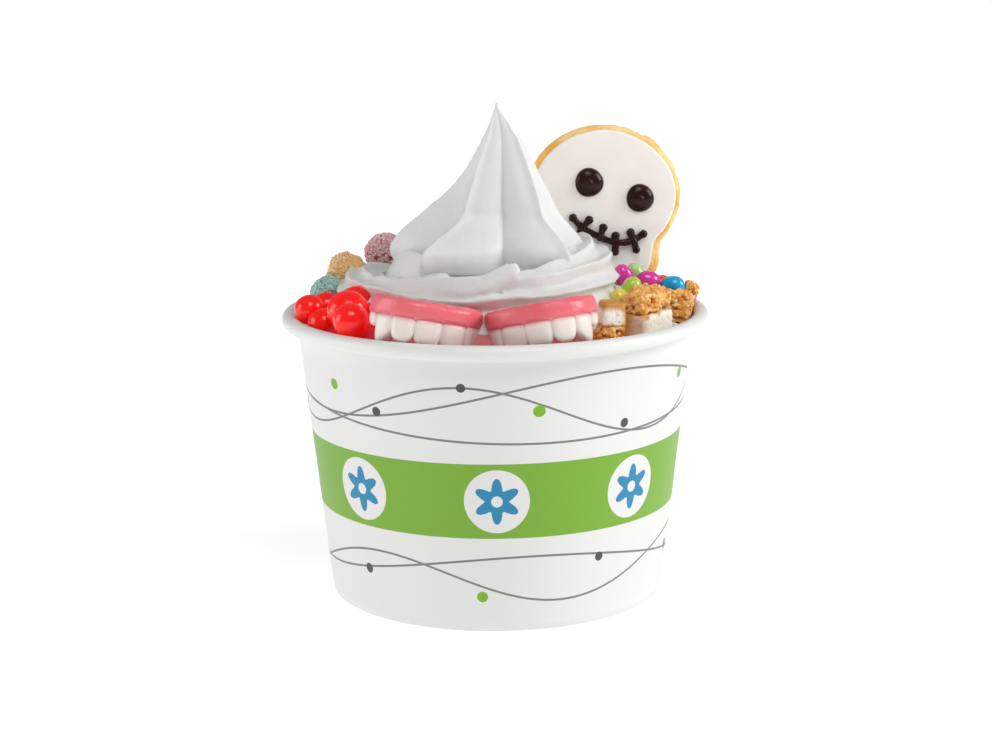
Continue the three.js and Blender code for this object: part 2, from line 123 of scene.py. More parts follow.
def node(tree, kind, inputs=(), **settings):
    """Adds a shader node with its settings. Inputs go by name or number, or in order from a list. One that
    is a node or a socket is linked, and another is set."""
    made = tree.nodes.new("ShaderNode" + kind)
    for name, value in settings.items():
        setattr(made, name, value)
    for socket, value in inputs.items() if isinstance(inputs, dict) else enumerate(inputs):
        if isinstance(value, bpy.types.Node):
            value = value.outputs[0]
        if isinstance(value, bpy.types.NodeSocket):
            tree.links.new(value, made.inputs[socket])
        else:
            made.inputs[socket].default_value = value
    return made


def material(name):
    """A new empty material and its node tree."""
    made = bpy.data.materials.new(name)
    made.use_nodes = True
    made.node_tree.nodes.clear()
    return made, made.node_tree


def scattering(weight, radius, scale):
    """The shader's inputs for light that enters a solid: how much does, how far each colour goes, and the
    distance in metres."""
    return {"Subsurface Weight": weight, "Subsurface Radius": radius, "Subsurface Scale": scale}


def surface(name, tones, reliefs, inputs, cloud=None, mark=None):
    """A material. Its colour runs through tones, {place from 0 to 1: hex}, as a cloud [scale, detail] does. A
    mark (attribute, hex, unevenness) lays one more tone where the mesh has it, more so where the cloud is
    high. Each relief (scale, detail, strength, distance) is laid on the one before. The inputs are the
    shader's own."""
    made, tree = material(name)
    place = node(tree, "TexCoord").outputs["Object"]
    colour = linear(tones[0]) if len(tones) == 1 else None
    if cloud:
        pattern = node(tree, "TexNoise", {"Vector": place, "Scale": cloud[0], "Detail": cloud[1]})
        colour = node(tree, "ValToRGB", [pattern])
        stops = colour.color_ramp.elements
        for place_between in list(tones)[1:-1]:
            stops.new(place_between)
        for stop, (stop_place, tone) in zip(stops, tones.items()):
            stop.position, stop.color = stop_place, linear(tone)
    if mark:
        attribute, tone, unevenness = mark
        amount = node(tree, "Attribute", attribute_name=attribute).outputs["Fac"]
        if unevenness:
            share = node(tree, "Math", [pattern, unevenness, 1.0], operation="MULTIPLY_ADD")
            amount = node(tree, "Math", [amount, share], operation="MULTIPLY")
        laid = node(tree, "Mix", {0: amount, 6: colour, 7: linear(tone)}, data_type="RGBA")
        colour = laid.outputs[2]
    inputs = {"Base Color": colour, **inputs}
    for scale, detail, strength, distance in reliefs:
        grain = node(tree, "TexNoise", {"Vector": place, "Scale": scale, "Detail": detail})
        bump = node(tree, "Bump", {"Strength": strength, "Distance": distance, "Height": grain})
        if "Normal" in inputs:
            tree.links.new(inputs["Normal"].outputs[0], bump.inputs["Normal"])
        inputs["Normal"] = bump
    node(tree, "OutputMaterial", {"Surface": node(tree, "BsdfPrincipled", inputs)})
    return made


def wall_radius(z):
    """How far the wall's outside is from the axis at a height."""
    return BASE_RADIUS + (NECK_RADIUS - BASE_RADIUS) * z / ROLL_HEIGHT


def cup_profile():
    """The wall's closed section of [radius, height]: up the outside, round the rolled rim, down the inside
    and back along the folded hem."""
    heights = np.linspace(0.3, ROLL_HEIGHT - 1.1, WALL_ROWS)
    outside = columns(wall_radius(heights), heights)
    turn = np.radians(np.linspace(215, 525, 40))
    roll = [RIM_RADIUS - ROLL_RADIUS, ROLL_HEIGHT] + ROLL_RADIUS * columns(np.cos(turn), np.sin(turn))
    inner = np.linspace(ROLL_HEIGHT - 1.6, HEM_HEIGHT + 0.4, 24)
    inside = columns(wall_radius(inner) - WALL, inner)
    foot = BASE_RADIUS - HEM_THICKNESS
    hem = [
        [wall_radius(HEM_HEIGHT) - WALL - 0.2, HEM_HEIGHT],
        [wall_radius(HEM_HEIGHT) - HEM_THICKNESS, HEM_HEIGHT - 0.2],
        [foot, 0.3],
        [foot + 0.3, 0.0],
        [BASE_RADIUS - 0.3, 0.0],
    ]
    return np.vstack([outside, roll, inside, hem])


def cup_wall():
    """The section turned about the axis. At the back the wrapped edge stands a paper's thickness proud over
    the seam's width, and ends in a step."""
    profile = cup_profile()
    angles = circle(360).T
    across = (angles - pi / 2) * BASE_RADIUS
    lap = SEAM_STEP * (np.clip(across / SEAM_WIDTH + 1, 0, 1) * (across < 0))
    outer = (np.arange(len(profile)) < WALL_ROWS)[None, :]
    rings = turned(profile[:, 0] + np.where(outer, lap, 0), angles, profile[:, 1])
    return skin("paper_cup_wall", rings, loop=True)


# The print, in millimetres round the cup and up it. It is an even, simple pattern: a lime belt of white discs
# that hold blue flowers, with grey lines that wander across each other and round dots above and below.
PRINT_RADIUS = 43.5
BELT_LOW, BELT_HIGH = 22.5, 40.0
DISC_COUNT = 8
DISC_RADIUS = 7.4
FLOWER_RADIUS = 4.1
PETAL_COUNT, PETAL_DEPTH = 6, 1.3
FLOWER_EYE = 1.3
LINE_HALF_WIDTH = 0.26
BOARD_WHITE, LINE_GREY, BELT_LIME, FLOWER_BLUE = "#E9E9E7", "#7E7E76", "#7AAE2A", "#1787B4"
# Each line is [mean height, swing, waves round the cup, where round the cup it starts].
PRINT_LINES = [
    [54.0, 5.6, 2, 0.35],
    [51.0, 6.5, 3, 2.1],
    [49.5, 5.0, 1, 4.4],
    [14.0, 4.0, 2, 1.2],
    [12.0, 5.0, 3, 3.6],
]
# Each dot is [place in a third of the way round, height, radius, colour], and the thirds are alike.
DOT_GREEN, DOT_CHARCOAL = "#7AB51D", "#4A4A46"
PRINT_DOTS = [
    [0.06, 55.0, 1.25, DOT_GREEN],
    [0.20, 50.5, 1.1, DOT_CHARCOAL],
    [0.42, 57.5, 1.0, DOT_CHARCOAL],
    [0.60, 52.0, 1.35, DOT_GREEN],
    [0.83, 47.0, 1.1, DOT_CHARCOAL],
    [0.12, 12.0, 1.2, DOT_CHARCOAL],
    [0.46, 8.5, 1.3, DOT_GREEN],
    [0.78, 16.0, 1.1, DOT_CHARCOAL],
]


def inked(tree, under, distance, limit, ink):
    """The colour with one ink laid over it wherever a distance is below a limit."""
    inside = node(tree, "Math", [distance, limit], operation="LESS_THAN")
    return node(tree, "Mix", {0: inside, 6: under, 7: linear(ink)}, data_type="RGBA").outputs[2]


def from_spot(tree, turn, height, repeats, spot, level):
    """How far across and above a spot each point of the wall is, and how far from it. The spot is at a share
    of a panel, and repeats so many times round the cup."""
    panels = node(tree, "Math", [turn, repeats / (2 * pi), 0.5], operation="MULTIPLY_ADD")
    panel = node(tree, "Math", [panels], operation="FRACT")
    share = node(tree, "Math", [panel, spot], operation="SUBTRACT")
    across = node(tree, "Math", [share, 2 * pi * PRINT_RADIUS / repeats], operation="MULTIPLY")
    above = node(tree, "Math", [height, level], operation="SUBTRACT")
    offset = node(tree, "CombineXYZ", [across, above])
    return across, above, node(tree, "VectorMath", [offset], operation="LENGTH").outputs["Value"]


def paper_print(tree):
    """The printed colour: lines, dots, the belt, its discs and their flowers are laid over each other. Every
    motif is a distance worked out from the height and from the angle round the cup."""
    place = node(tree, "SeparateXYZ", [node(tree, "TexCoord").outputs["Object"]])
    height = node(tree, "Math", [place.outputs[2], 1000.0], operation="MULTIPLY")
    back = node(tree, "Math", [place.outputs[1], -1.0], operation="MULTIPLY")
    turn = node(tree, "Math", [place.outputs[0], back], operation="ARCTAN2")
    colour = linear(BOARD_WHITE)
    for mean, swing, waves, start in PRINT_LINES:
        phase = node(tree, "Math", [turn, waves, start], operation="MULTIPLY_ADD")
        wave = node(tree, "Math", [phase], operation="SINE")
        line = node(tree, "Math", [wave, swing, mean], operation="MULTIPLY_ADD")
        above = node(tree, "Math", [height, line], operation="SUBTRACT")
        off = node(tree, "Math", [above], operation="ABSOLUTE")
        colour = inked(tree, colour, off, LINE_HALF_WIDTH, LINE_GREY)
    for spot, level, radius, ink in PRINT_DOTS:
        off = from_spot(tree, turn, height, 3, spot, level)[2]
        colour = inked(tree, colour, off, radius, ink)
    across, above, off = from_spot(tree, turn, height, DISC_COUNT, 0.5, (BELT_LOW + BELT_HIGH) / 2)
    off_belt = node(tree, "Math", [above], operation="ABSOLUTE")
    colour = inked(tree, colour, off_belt, (BELT_HIGH - BELT_LOW) / 2, BELT_LIME)
    colour = inked(tree, colour, off, DISC_RADIUS, BOARD_WHITE)
    direction = node(tree, "Math", [across, above], operation="ARCTAN2")
    petals = node(tree, "Math", [direction, PETAL_COUNT], operation="MULTIPLY")
    swell = node(tree, "Math", [petals], operation="COSINE")
    flower = node(tree, "Math", [swell, -PETAL_DEPTH, off], operation="MULTIPLY_ADD")
    colour = inked(tree, colour, flower, FLOWER_RADIUS, FLOWER_BLUE)
    return inked(tree, colour, off, FLOWER_EYE, BOARD_WHITE)


def printed_paperboard():
    """Paperboard coated with polyethylene, offset printed and pressed: a smooth satin face with the faint
    mottle of the fibres below the coating, 0.5 to 1 mm across."""
    inputs = {"Roughness": 0.42, "IOR": 1.5}
    made = surface("coated_paperboard_printed", {0: BOARD_WHITE}, [(1400, 3, 0.12, 0.0002)], inputs)
    tree = made.node_tree
    tree.links.new(paper_print(tree), tree.nodes["Principled BSDF"].inputs["Base Color"])
    return made


def finish(piece, made, slot, *nodes, alone=False):
    """Gives a piece its material, the body that it rides on and the nodes that it stands for: those named,
    or the one with its own name, without the number that keeps two such names apart. A piece that is alone
    stands for none. The slot is not used."""
    piece.data.materials.append(made)
    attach(piece, "root")
    if not alone:
        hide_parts(*(nodes or [piece.name.partition(".")[0]]))


finish(cup_wall(), printed_paperboard(), "paper", "cup_wall")

# ---------------------------------------------------------------------------
# The base disc: the same board, bare, pressed in above the foot's hem.

DISC_THICKNESS = 0.7
DISC_LIFT = 0.1
GAP = 0.3


def base_disc():
    """A disc with rounded edges, as the press leaves it."""
    low = HEM_HEIGHT + DISC_LIFT
    share = np.linspace(0.02, 1, 24)
    radius = share * (wall_radius(low) - WALL - GAP - 0.1)
    bevel = 0.1 * (share > 0.98)
    profile = np.vstack([columns(radius, low + DISC_THICKNESS - bevel), columns(radius, low + bevel)[::-1]])
    return skin("paper_cup_base", turned(profile[:, :1], circle(180), profile[:, 1:]))


def bare_paperboard():
    """Uncoated bleached board: matt white with a soft fibre grain about 0.8 mm across."""
    tones = {0: "#F6F5F2", 1: "#E9E7E2"}
    reliefs = [(1200, 4, 0.3, 0.0002)]
    return surface("bleached_paperboard_bare", tones, reliefs, {"Roughness": 0.85}, cloud=(1200, 4))


finish(base_disc(), bare_paperboard(), "paper", "cup_base")

# ---------------------------------------------------------------------------
# The yogurt: soft-serve pushed through a star nozzle. It fills the cup, is laid round in a ribbed coil, and
# is pulled up into a ridged peak whose foot spreads into petals over the coil.

TIP_HEIGHT = 115.5
PEAK_SLOPE = 0.496
TIP_OFFSET, PEAK_OFFSET = 0.8, 1.2
# The directions of the peak's ridges, in degrees from the front.
RIDGES = [-90, -45, 45, 101.25, 157.5, 213.75]
GROOVE = 0.24
RIDGE_EDGE, TIP_RADIUS = 0.85, 0.42
TWIST, TWIST_FOOT, TWIST_SPAN = 9, 88, 24
PETAL_HEIGHT = 82.5
PETAL_FOOT = 74.0
PETAL_RISE = 9.0
PETAL_REACH = 5.8
PETAL_LEAN = 3.8
SHOULDER_LENGTH = 12.5
SHOULDER_TURN, SHOULDER_WIDTH = -92.0, 26.0
BED_HEIGHT, BED_RADIUS, BED_EDGE, BED_DEPTH = 77.4, 25.5, 4.0, 8.0
COIL_START, COIL_END = -240.0, 200.0
COIL_REACH, COIL_HEIGHT, COIL_THICKNESS = 31.5, 71.2, 6.3
RIBS = 9
RIB_DEPTH = 0.3
FILL_RADIUS = 45.9
FILL_EDGE_HEIGHT = 61.8
FILL_SLOPE = 0.55
FILL_CROWN_HEIGHT = 74.0
BANK_RADIUS, BANK_WIDTH, BANK_RISE = 39.0, 5.5, 3.2
FRONT_DIP, DIP_REACH = 3.0, 33.0
VOXEL = 0.4


def ease(x):
    """A smooth step from 0 to 1 as x goes from 0 to 1."""
    x = np.clip(x, 0, 1)
    return x * x * (3 - 2 * x)


def lumps(points, size, seed=0):
    """Smooth unevenness from -1 to 1: a random value at each corner of cubes of that size, blended across."""
    place = np.asarray(points) / size + seed * 7.31
    cell = np.floor(place)
    share = ease(place - cell)
    total = np.zeros(place.shape[:-1])
    for corner in product((0, 1), repeat=3):
        wave = np.sin((cell + corner) @ np.array([127.1, 311.7, 74.7])) * 43758.5453
        value = 2 * (wave - np.floor(wave)) - 1
        total += value * np.prod(np.where(corner, share, 1 - share), axis=-1)
    return total


def fill_level(radius, angle):
    """The height of the fill's top: it climbs in from the wall to a crown, with a bank under the sweets at
    both sides and a dip inside the front of the wall, under the dentures and the bites."""
    from_front = np.degrees(np.arccos(np.clip(-np.sin(angle), -1, 1)))
    climb = np.minimum(FILL_EDGE_HEIGHT + FILL_SLOPE * (FILL_RADIUS - radius), FILL_CROWN_HEIGHT)
    side = ease((from_front - 70) / 30) - ease((from_front - 140) / 20)
    bank = BANK_RISE * side * np.exp(-(((radius - BANK_RADIUS) / BANK_WIDTH) ** 2))
    dip = FRONT_DIP * (1 - ease((from_front - 85) / 25)) * ease((radius - DIP_REACH) / 5)
    return climb + bank - dip


def yogurt_fill():
    """The fill: from the base disc up inside the wall, then in over its top, which has soft waves."""
    low = HEM_HEIGHT + DISC_LIFT + DISC_THICKNESS + GAP
    heights = np.linspace(low, FILL_EDGE_HEIGHT - 0.6, 30)[:, None]
    side = np.minimum(wall_radius(heights) - WALL - GAP, FILL_RADIUS)
    radii = np.linspace(FILL_RADIUS, 2, 110)[:, None]
    angles = circle(360)
    level = np.vstack([heights + 0 * angles, fill_level(radii, angles)])
    rings = turned(np.vstack([side, radii]), angles, level)
    flat = rings[len(heights) :] * [1, 1, 0]
    rings[len(heights) :, :, 2] += 0.5 * lumps(flat, 7.0, 1) + 0.2 * lumps(flat, 2.6, 2)
    return skin("yogurt_fill", rings)


def groove_depth(from_front):
    """How far each direction is drawn in from the line of the ridges: 0 on a ridge, and most half way
    between two, where the groove lies a little inside the straight line that joins them."""
    ridges = np.array([*RIDGES, RIDGES[0] + 360])
    angle = (from_front - RIDGES[0]) % 360 + RIDGES[0]
    which = np.searchsorted(ridges, angle, side="right") - 1
    gap = ridges[which + 1] - ridges[which]
    to_ridge = 1 - np.abs(2 * (angle - ridges[which]) / gap - 1)
    return (1 - (1 - GROOVE) * np.cos(np.radians(gap / 2))) * to_ridge**0.85


def peak_rings():
    """A cone from the tip down, flared at its foot into petals that curl under, and drawn in between its
    ridges. Each ridge carries a thin raised edge, as the nozzle's notches leave it."""
    low, high = np.linspace(PETAL_FOOT + 0.4, 92, 140), np.linspace(92.2, TIP_HEIGHT, 100)
    z = np.concatenate([low, high])[:, None]
    from_front = np.linspace(-180, 180, 400, endpoint=False)[None, :]
    rise = PETAL_RISE + SHOULDER_LENGTH * np.exp(-(((from_front - SHOULDER_TURN) / SHOULDER_WIDTH) ** 2))
    petals = PETAL_REACH + PETAL_LEAN * np.cos(np.radians(from_front + 70))
    flare = petals * ease((PETAL_HEIGHT + rise - z) / rise) ** 1.4
    under = np.clip((PETAL_HEIGHT - z) / (PETAL_HEIGHT - PETAL_FOOT), 0, 0.985)
    reach = (PEAK_SLOPE * (TIP_HEIGHT - z) + flare) * np.sqrt(1 - under**2)
    twist = TWIST * ease((z - TWIST_FOOT) / TWIST_SPAN) * np.sin(np.radians(from_front))
    drawn = groove_depth(from_front - twist)
    edge = RIDGE_EDGE * np.exp(-((drawn / 0.05) ** 2))
    reach = reach * (1 - drawn) + edge * ease((TIP_HEIGHT - z) / 12)
    reach = np.maximum(reach, TIP_RADIUS)
    rings = turned(reach, np.radians(from_front - 90), z)
    rings[..., 0] += TIP_OFFSET + PEAK_OFFSET * ease((TIP_HEIGHT - z) / 9)
    uneven = 0.22 * lumps(rings, 5.0, 3) + 0.07 * lumps(rings, 1.7, 6)
    rings[..., :2] += (uneven * ease((TIP_HEIGHT - z) / 10))[..., None]
    return rings


def coil_rings():
    """A rope of star section carried round the peak's foot. It starts behind the left, dips a little as it
    crosses the front, swells and climbs at the right, and tucks in behind. Its ribs are torn into layers."""
    angle = np.linspace(COIL_START, COIL_END, 680)[:, None]
    t = (angle - COIL_START) / (COIL_END - COIL_START)
    drawn_in = 5.5 * ease((angle + 180) / 50) + 4.5 * ease((angle + 130) / 120) + 4.5 * ease(angle / 200)
    reach = COIL_REACH - drawn_in
    height = COIL_HEIGHT + 8 * ease((angle + 150) / 300) - 1.4 * np.exp(-(((angle + 120) / 40) ** 2))
    taper = np.sqrt(np.clip(np.minimum(9 * t + 0.02, 8 * (1 - t) + 0.02), 0, 1))
    thick = (COIL_THICKNESS + 1.5 * ease((angle + 180) / 150) - 1.5 * ease((angle - 40) / 160)) * taper
    turn, around = np.radians(angle), circle(160)
    star = around + turn * 0.3
    wave = np.sqrt(np.sin(RIBS / 2 * star) ** 2 + 0.002) - 0.04
    run = turn * reach
    layers = columns(run / 6, thick * star / 1.7, 0)
    torn = 0.6 * lumps(layers, 1.0, 5) + 0.22 * lumps(layers, 0.42, 6)
    r = thick * (1.06 - RIB_DEPTH * wave) + torn * taper
    rings = turned(reach + r * np.cos(around), turn, height + r * np.sin(around))
    return rings + 0.25 * lumps(rings, 6.0, 4)[..., None]


# The strands laid on the coil: one under the petals at the left, one across the front that ends in a torn
# flap, and one below the coil at the right. Each knot is [angle, reach, height, half thickness, half height].
STRANDS = [
    [
        [-208, 21, 74, 2.5, 3],
        [-172, 22, 77, 3.8, 4.4],
        [-150, 22, 78, 4.2, 4.6],
        [-132, 21, 77.2, 3.4, 3.8],
        [-118, 20, 75.5, 2, 2],
    ],
    [
        [-170, 27.5, 74.4, 1.4, 1.4],
        [-140, 27.6, 75.4, 2.2, 2.3],
        [-112, 27.8, 76.0, 2.4, 2.6],
        [-96, 27.8, 77.1, 2.3, 2.6],
        [-86, 27.9, 78.9, 2.0, 2.9],
        [-78, 28.2, 80.9, 1.1, 1.7],
    ],
    [
        [-80, 24, 67, 3, 3],
        [-55, 25.6, 70, 4.6, 5.5],
        [-30, 26, 71, 5, 6.2],
        [0, 25, 71, 4.5, 5.5],
        [25, 24, 70, 3, 4],
    ],
]


def smooth_line(knots, count):
    """That many rows along the smooth curve through a few, by Catmull and Rom's rule."""
    knots = np.array(knots, float)
    t = np.linspace(0, len(knots) - 1, count)
    first = np.minimum(t.astype(int), len(knots) - 2)
    u = (t - first)[:, None]
    ends = np.vstack([2 * knots[:1] - knots[1:2], knots, 2 * knots[-1:] - knots[-2:-1]])
    a, b, c, d = (ends[first + step] for step in range(4))
    return b + 0.5 * u * (c - a + u * (2 * a - 5 * b + 4 * c - d + u * (3 * (b - c) + d - a)))


def strand_rings(knots):
    """A rope of egg-shaped section, thin edge up, carried along a smooth curve through its knots. Both ends
    close quickly, as torn ends do."""
    path = smooth_line(knots, 260)
    angle, reach, height, thick, tall = (path[:, [column]] for column in range(5))
    share = np.linspace(0, 1, len(path))[:, None]
    close = np.sqrt(np.clip(np.minimum(9 * share + 0.02, 14 * (1 - share) + 0.02), 0, 1))
    around = circle(96)
    out = reach + close * thick * np.cos(around) * (0.9 - 0.62 * np.sin(around))
    rings = turned(out, np.radians(angle), height + close * tall * np.sin(around))
    return rings + (0.3 * lumps(rings, 4.0, 8) + 0.16 * lumps(rings * [1, 1, 2.5], 1.6, 9))[..., None]


def bed_rings():
    """A round pad under the peak's foot, with a rounded edge, that closes the space inside the coil."""
    bend = np.linspace(0, pi / 2, 12)[:, None]
    inner = BED_RADIUS - BED_EDGE
    top = np.linspace(inner, 1, 20)[1:, None]
    radius = np.vstack([[[BED_RADIUS]], inner + BED_EDGE * np.cos(bend), top])
    rounding = BED_HEIGHT - BED_EDGE + BED_EDGE * np.sin(bend)
    z = np.vstack([[[FILL_CROWN_HEIGHT - BED_DEPTH]], rounding, BED_HEIGHT + 0 * top])
    return turned(radius, circle(120), z)


def joined(name, pieces):
    """One object that holds the meshes of several."""
    with bpy.context.temp_override(
        active_object=pieces[0], selected_editable_objects=pieces, object=pieces[0]
    ):
        bpy.ops.object.join()
    pieces[0].name = pieces[0].data.name = name
    return pieces[0]


def applied(piece):
    """The piece with its modifiers made part of its mesh."""
    graph = bpy.context.evaluated_depsgraph_get()
    mesh = bpy.data.meshes.new_from_object(piece.evaluated_get(graph))
    piece.modifiers.clear()
    piece.data = mesh
    return piece


def yogurt_coil():
    """The bed, the coil and its strands fused into one skin and softened a little."""
    parts = [skin("bed", bed_rings()), skin("coil", coil_rings())]
    parts += [skin("strand", strand_rings(knots)) for knots in STRANDS]
    coil = joined("yogurt_coil", parts)
    fuse = coil.modifiers.new("fuse", "REMESH")
    fuse.mode = "VOXEL"
    fuse.voxel_size = VOXEL * 0.001
    fuse.use_smooth_shade = True
    soften = coil.modifiers.new("soften", "SMOOTH")
    soften.factor = 0.5
    soften.iterations = 2
    return applied(coil)


def soft_serve():
    """Frozen yogurt, churned and piped: an opaque white that light enters a millimetre or two, with a satin
    melted skin and a fine ice grain about 0.5 mm across."""
    reliefs = [(260, 3, 0.25, 0.0006), (2000, 2, 0.12, 0.0002)]
    inputs = {"Roughness": 0.42, "IOR": 1.36, **scattering(0.2, (1.0, 0.95, 0.9), 0.0012)}
    return surface("frozen_yogurt_soft_serve", {0: "#E2E3E1"}, reliefs, inputs)


yogurt = soft_serve()
finish(yogurt_fill(), yogurt, "yogurt", "yogurt")
finish(yogurt_coil(), yogurt, "yogurt", alone=True)
finish(skin("yogurt_peak", peak_rings()), yogurt, "yogurt", alone=True)

# ---------------------------------------------------------------------------
# Cherry balls: juice set in a thin jelly skin, bursting-ball sweets. A heap of them lies at the left of the
# front, and a few show inside the rim below the dentures. Each is a little out of round.

# Each ball is [place, radius, how much its top is pressed in].
BALLS = [
    [(-32.2, -31.2, 70.0), 4.1, 0.0],
    [(-33.4, -22.0, 70.6), 4.9, 0.06],
    [(-31.7, -13.0, 71.7), 4.0, 0.3],
    [(-39.3, -17.4, 66.9), 3.8, 0.05],
    [(-43.0, -11.4, 69.2), 3.6, 0.05],
    [(-39.6, -5.6, 68.8), 3.7, 0.12],
    [(-33.0, -26.5, 62.8), 3.6, 0.1],
]
LOW_BALL_ANGLES = [-131, -119, -73, -61]
LOW_BALL_REACH, LOW_BALL_HEIGHT, LOW_BALL_RADIUS = 39.8, 62.2, 3.5


def ball_directions(rows, columns):
    """Points of the unit ball in rings from its bottom to its top."""
    up = np.linspace(-pi / 2, pi / 2, rows + 2)[1:-1, None]
    return turned(np.cos(up), circle(columns), np.sin(up))


def posed(points, place, turn=(0, 0, 0)):
    """Points turned about X, then Y, then Z by those degrees, and carried to a place."""
    spin = np.array(Euler([radians(angle) for angle in turn]).to_matrix())
    return points @ spin.T + np.array(place)


def cherry_ball(number, place, radius, pressed):
    """A ball with its top third pressed in, and its skin uneven by two hundredths of its size."""
    shape = ball_directions(46, 72)
    shape[..., 2] -= pressed * ease((shape[..., 2] - 0.3) / 0.7) * 0.6
    shape = shape * (1 + 0.02 * lumps(shape, 0.7, number))[..., None]
    return skin(f"cherry_ball_{number}", posed(shape * radius, place))


def cherry_jelly():
    """Juice in an alginate skin: clear red under a wet gloss. A low glow stands for the light that the juice
    carries round from behind."""
    inputs = {
        "Roughness": 0.14,
        "IOR": 1.42,
        "Specular IOR Level": 0.6,
        "Emission Color": linear("#FF1408"),
        "Emission Strength": 0.12,
        **scattering(0.85, (1.0, 0.12, 0.07), 0.006),
    }
    tones = {0: "#FF2418", 1: "#FF1014"}
    return surface("cherry_jelly_clear", tones, [(220, 2, 0.1, 0.0004)], inputs, cloud=(220, 2))


low_places = turned(LOW_BALL_REACH, np.radians(LOW_BALL_ANGLES), LOW_BALL_HEIGHT)
BALLS += [[place, LOW_BALL_RADIUS, 0.1] for place in low_places]
cherry = cherry_jelly()
for number, (place, radius, pressed) in enumerate(BALLS, 1):
    finish(cherry_ball(number, place, radius, pressed), cherry, "cherry")

# ---------------------------------------------------------------------------
# Cherry syrup: a thin pool of juice that has run from the balls along the inside of the wall, and lies under
# the dentures. It is sugar and cherry juice, and finds its own level.

SYRUP_REACH, SYRUP_WIDTH, SYRUP_DEPTH, SYRUP_HEAP = 40.4, 5.4, 1.6, 5.2
SYRUP_FROM, SYRUP_TO = -178, -46


def toned(piece, name, values):
    """Keeps a number for each point of the mesh, for its material to read."""
    layer = piece.data.attributes.new(name, "FLOAT", "POINT")
    full = np.zeros(len(piece.data.vertices), np.float32)
    full[: values.size] = values.reshape(-1)
    layer.data.foreach_set("value", full)


def syrup_pool():
    """A flat oval carried round the front from one angle to the other, thinner towards both ends and
    higher among the heaped balls."""
    angle = np.radians(np.linspace(SYRUP_FROM, SYRUP_TO, 240))[:, None]
    full = np.sqrt(1 - np.linspace(-1, 1, 240)[:, None] ** 4 * 0.995)
    around = circle(40)
    out = SYRUP_REACH + SYRUP_WIDTH * full * np.cos(around)
    heaped = SYRUP_HEAP * ease((np.radians(-128) - angle) / 0.25)
    level = fill_level(out, angle) + 0.5 + heaped * full
    rings = turned(out, angle, level + SYRUP_DEPTH * full * np.sin(around))
    rings[..., 2] += 0.35 * lumps(rings * [1, 1, 0], 3.5, 9)
    pool = skin("cherry_syrup", rings)
    toned(pool, "thin", np.broadcast_to(ease((angle + radians(136)) / 0.2), rings.shape[:2]))
    return pool


def syrup():
    """Cherry juice with sugar: a clear, deep red liquid, which runs out to a pale film over the yogurt."""
    inputs = {"Roughness": 0.14, "IOR": 1.38, **scattering(0.4, (1.0, 0.15, 0.1), 0.002)}
    tones = {0: "#E8303A", 1: "#C01820"}
    return surface("cherry_syrup_wet", tones, [], inputs, cloud=(180, 2), mark=("thin", "#E08488", 0))


finish(syrup_pool(), syrup(), "cherry", alone=True)

# ---------------------------------------------------------------------------
# Two jelly dentures: gelatine sweets cast in two colours, a row of milky teeth and a coral gum over it. They
# stand side by side at the front of the yogurt, and each dips towards the other.

TOOTH_HEIGHT = 5.8
GUM_HEIGHT = 3.6
ARCH_HALF_WIDTH = 11.0
ARCH_DEPTH = 13.6
ARCH_THICKNESS = 4.2
ARCH_SWEEP = radians(84)
ARCH_SQUARENESS = 0.78
TOOTH_ENDS = [0.3, 0.56, 0.8, 0.95]
FANG_LENGTH = 1.3
FANG_TIP = 0.4
DENTURES = {
    "left": [(-13.0, -40.5, 65.6), (-5, 12.6, 21)],
    "right": [(7.8, -41.5, 65.4), (-7, -13.2, -21)],
}


def rounded(wave, power):
    """A sine or cosine pushed outwards, which squares a circle's corners."""
    return np.sign(wave) * np.abs(wave) ** power


def evenly(points, count, closed=True):
    """That many points at even spacing along a line of points."""
    line = np.vstack([points, points[:1]]) if closed else np.asarray(points, float)
    run = np.concatenate([[0], np.cumsum(np.linalg.norm(np.diff(line, axis=0), axis=1))])
    at = np.linspace(0, run[-1], count, endpoint=not closed)
    return columns(*(np.interp(at, run, column) for column in line.T))


def arch(t, out, z):
    """The arch's point at place t from -1 to 1, set out square to its centre line, at a height. The line is
    half an oval with squared corners, and t runs evenly along it."""
    sweep = np.linspace(-ARCH_SWEEP, ARCH_SWEEP, 801)
    x = ARCH_HALF_WIDTH * rounded(np.sin(sweep), ARCH_SQUARENESS)
    y = ARCH_DEPTH * (1 - rounded(np.cos(sweep), ARCH_SQUARENESS))
    line = evenly(columns(x, y), 401, closed=False)
    along = np.gradient(line, axis=0)
    along /= np.linalg.norm(along, axis=1, keepdims=True)
    at = np.linspace(-1, 1, 401)
    line_x, line_y, along_x, along_y = (np.interp(t, at, values) for values in [*line.T, *along.T])
    return columns(line_x + out * along_y, line_y - out * along_x, z)


def tooth_places(t):
    """For each place: which tooth it is on, counted from the middle, and how far across it from -1 to 1."""
    far = np.abs(t)
    which = np.minimum(np.searchsorted(TOOTH_ENDS, far), len(TOOTH_ENDS) - 1)
    starts = np.array([0, *TOOTH_ENDS[:-1]])[which]
    ends = np.array(TOOTH_ENDS)[which]
    return which, np.clip(2 * (far - starts) / (ends - starts) - 1, -1, 1.6)


def tooth_edge(t):
    """How high each tooth's edge is: flat with rounded corners on the front pair, rounder on the next, a
    point near the outer side of the fang, and short on the last."""
    which, across = tooth_places(t)
    away = np.abs(across)
    inner = 3.4 * (np.clip(FANG_TIP - across, 0, 2) / (1 + FANG_TIP)) ** 1.35
    outer = 2.8 * (np.clip(across - FANG_TIP, 0, 1) / (1 - FANG_TIP)) ** 3
    fang = inner + outer - FANG_LENGTH
    return np.select(
        [which == 0, which == 1, which == 2], [1.2 * away**6, 1.6 * away**3.5, fang], 2.4 + 0.8 * away**3
    )


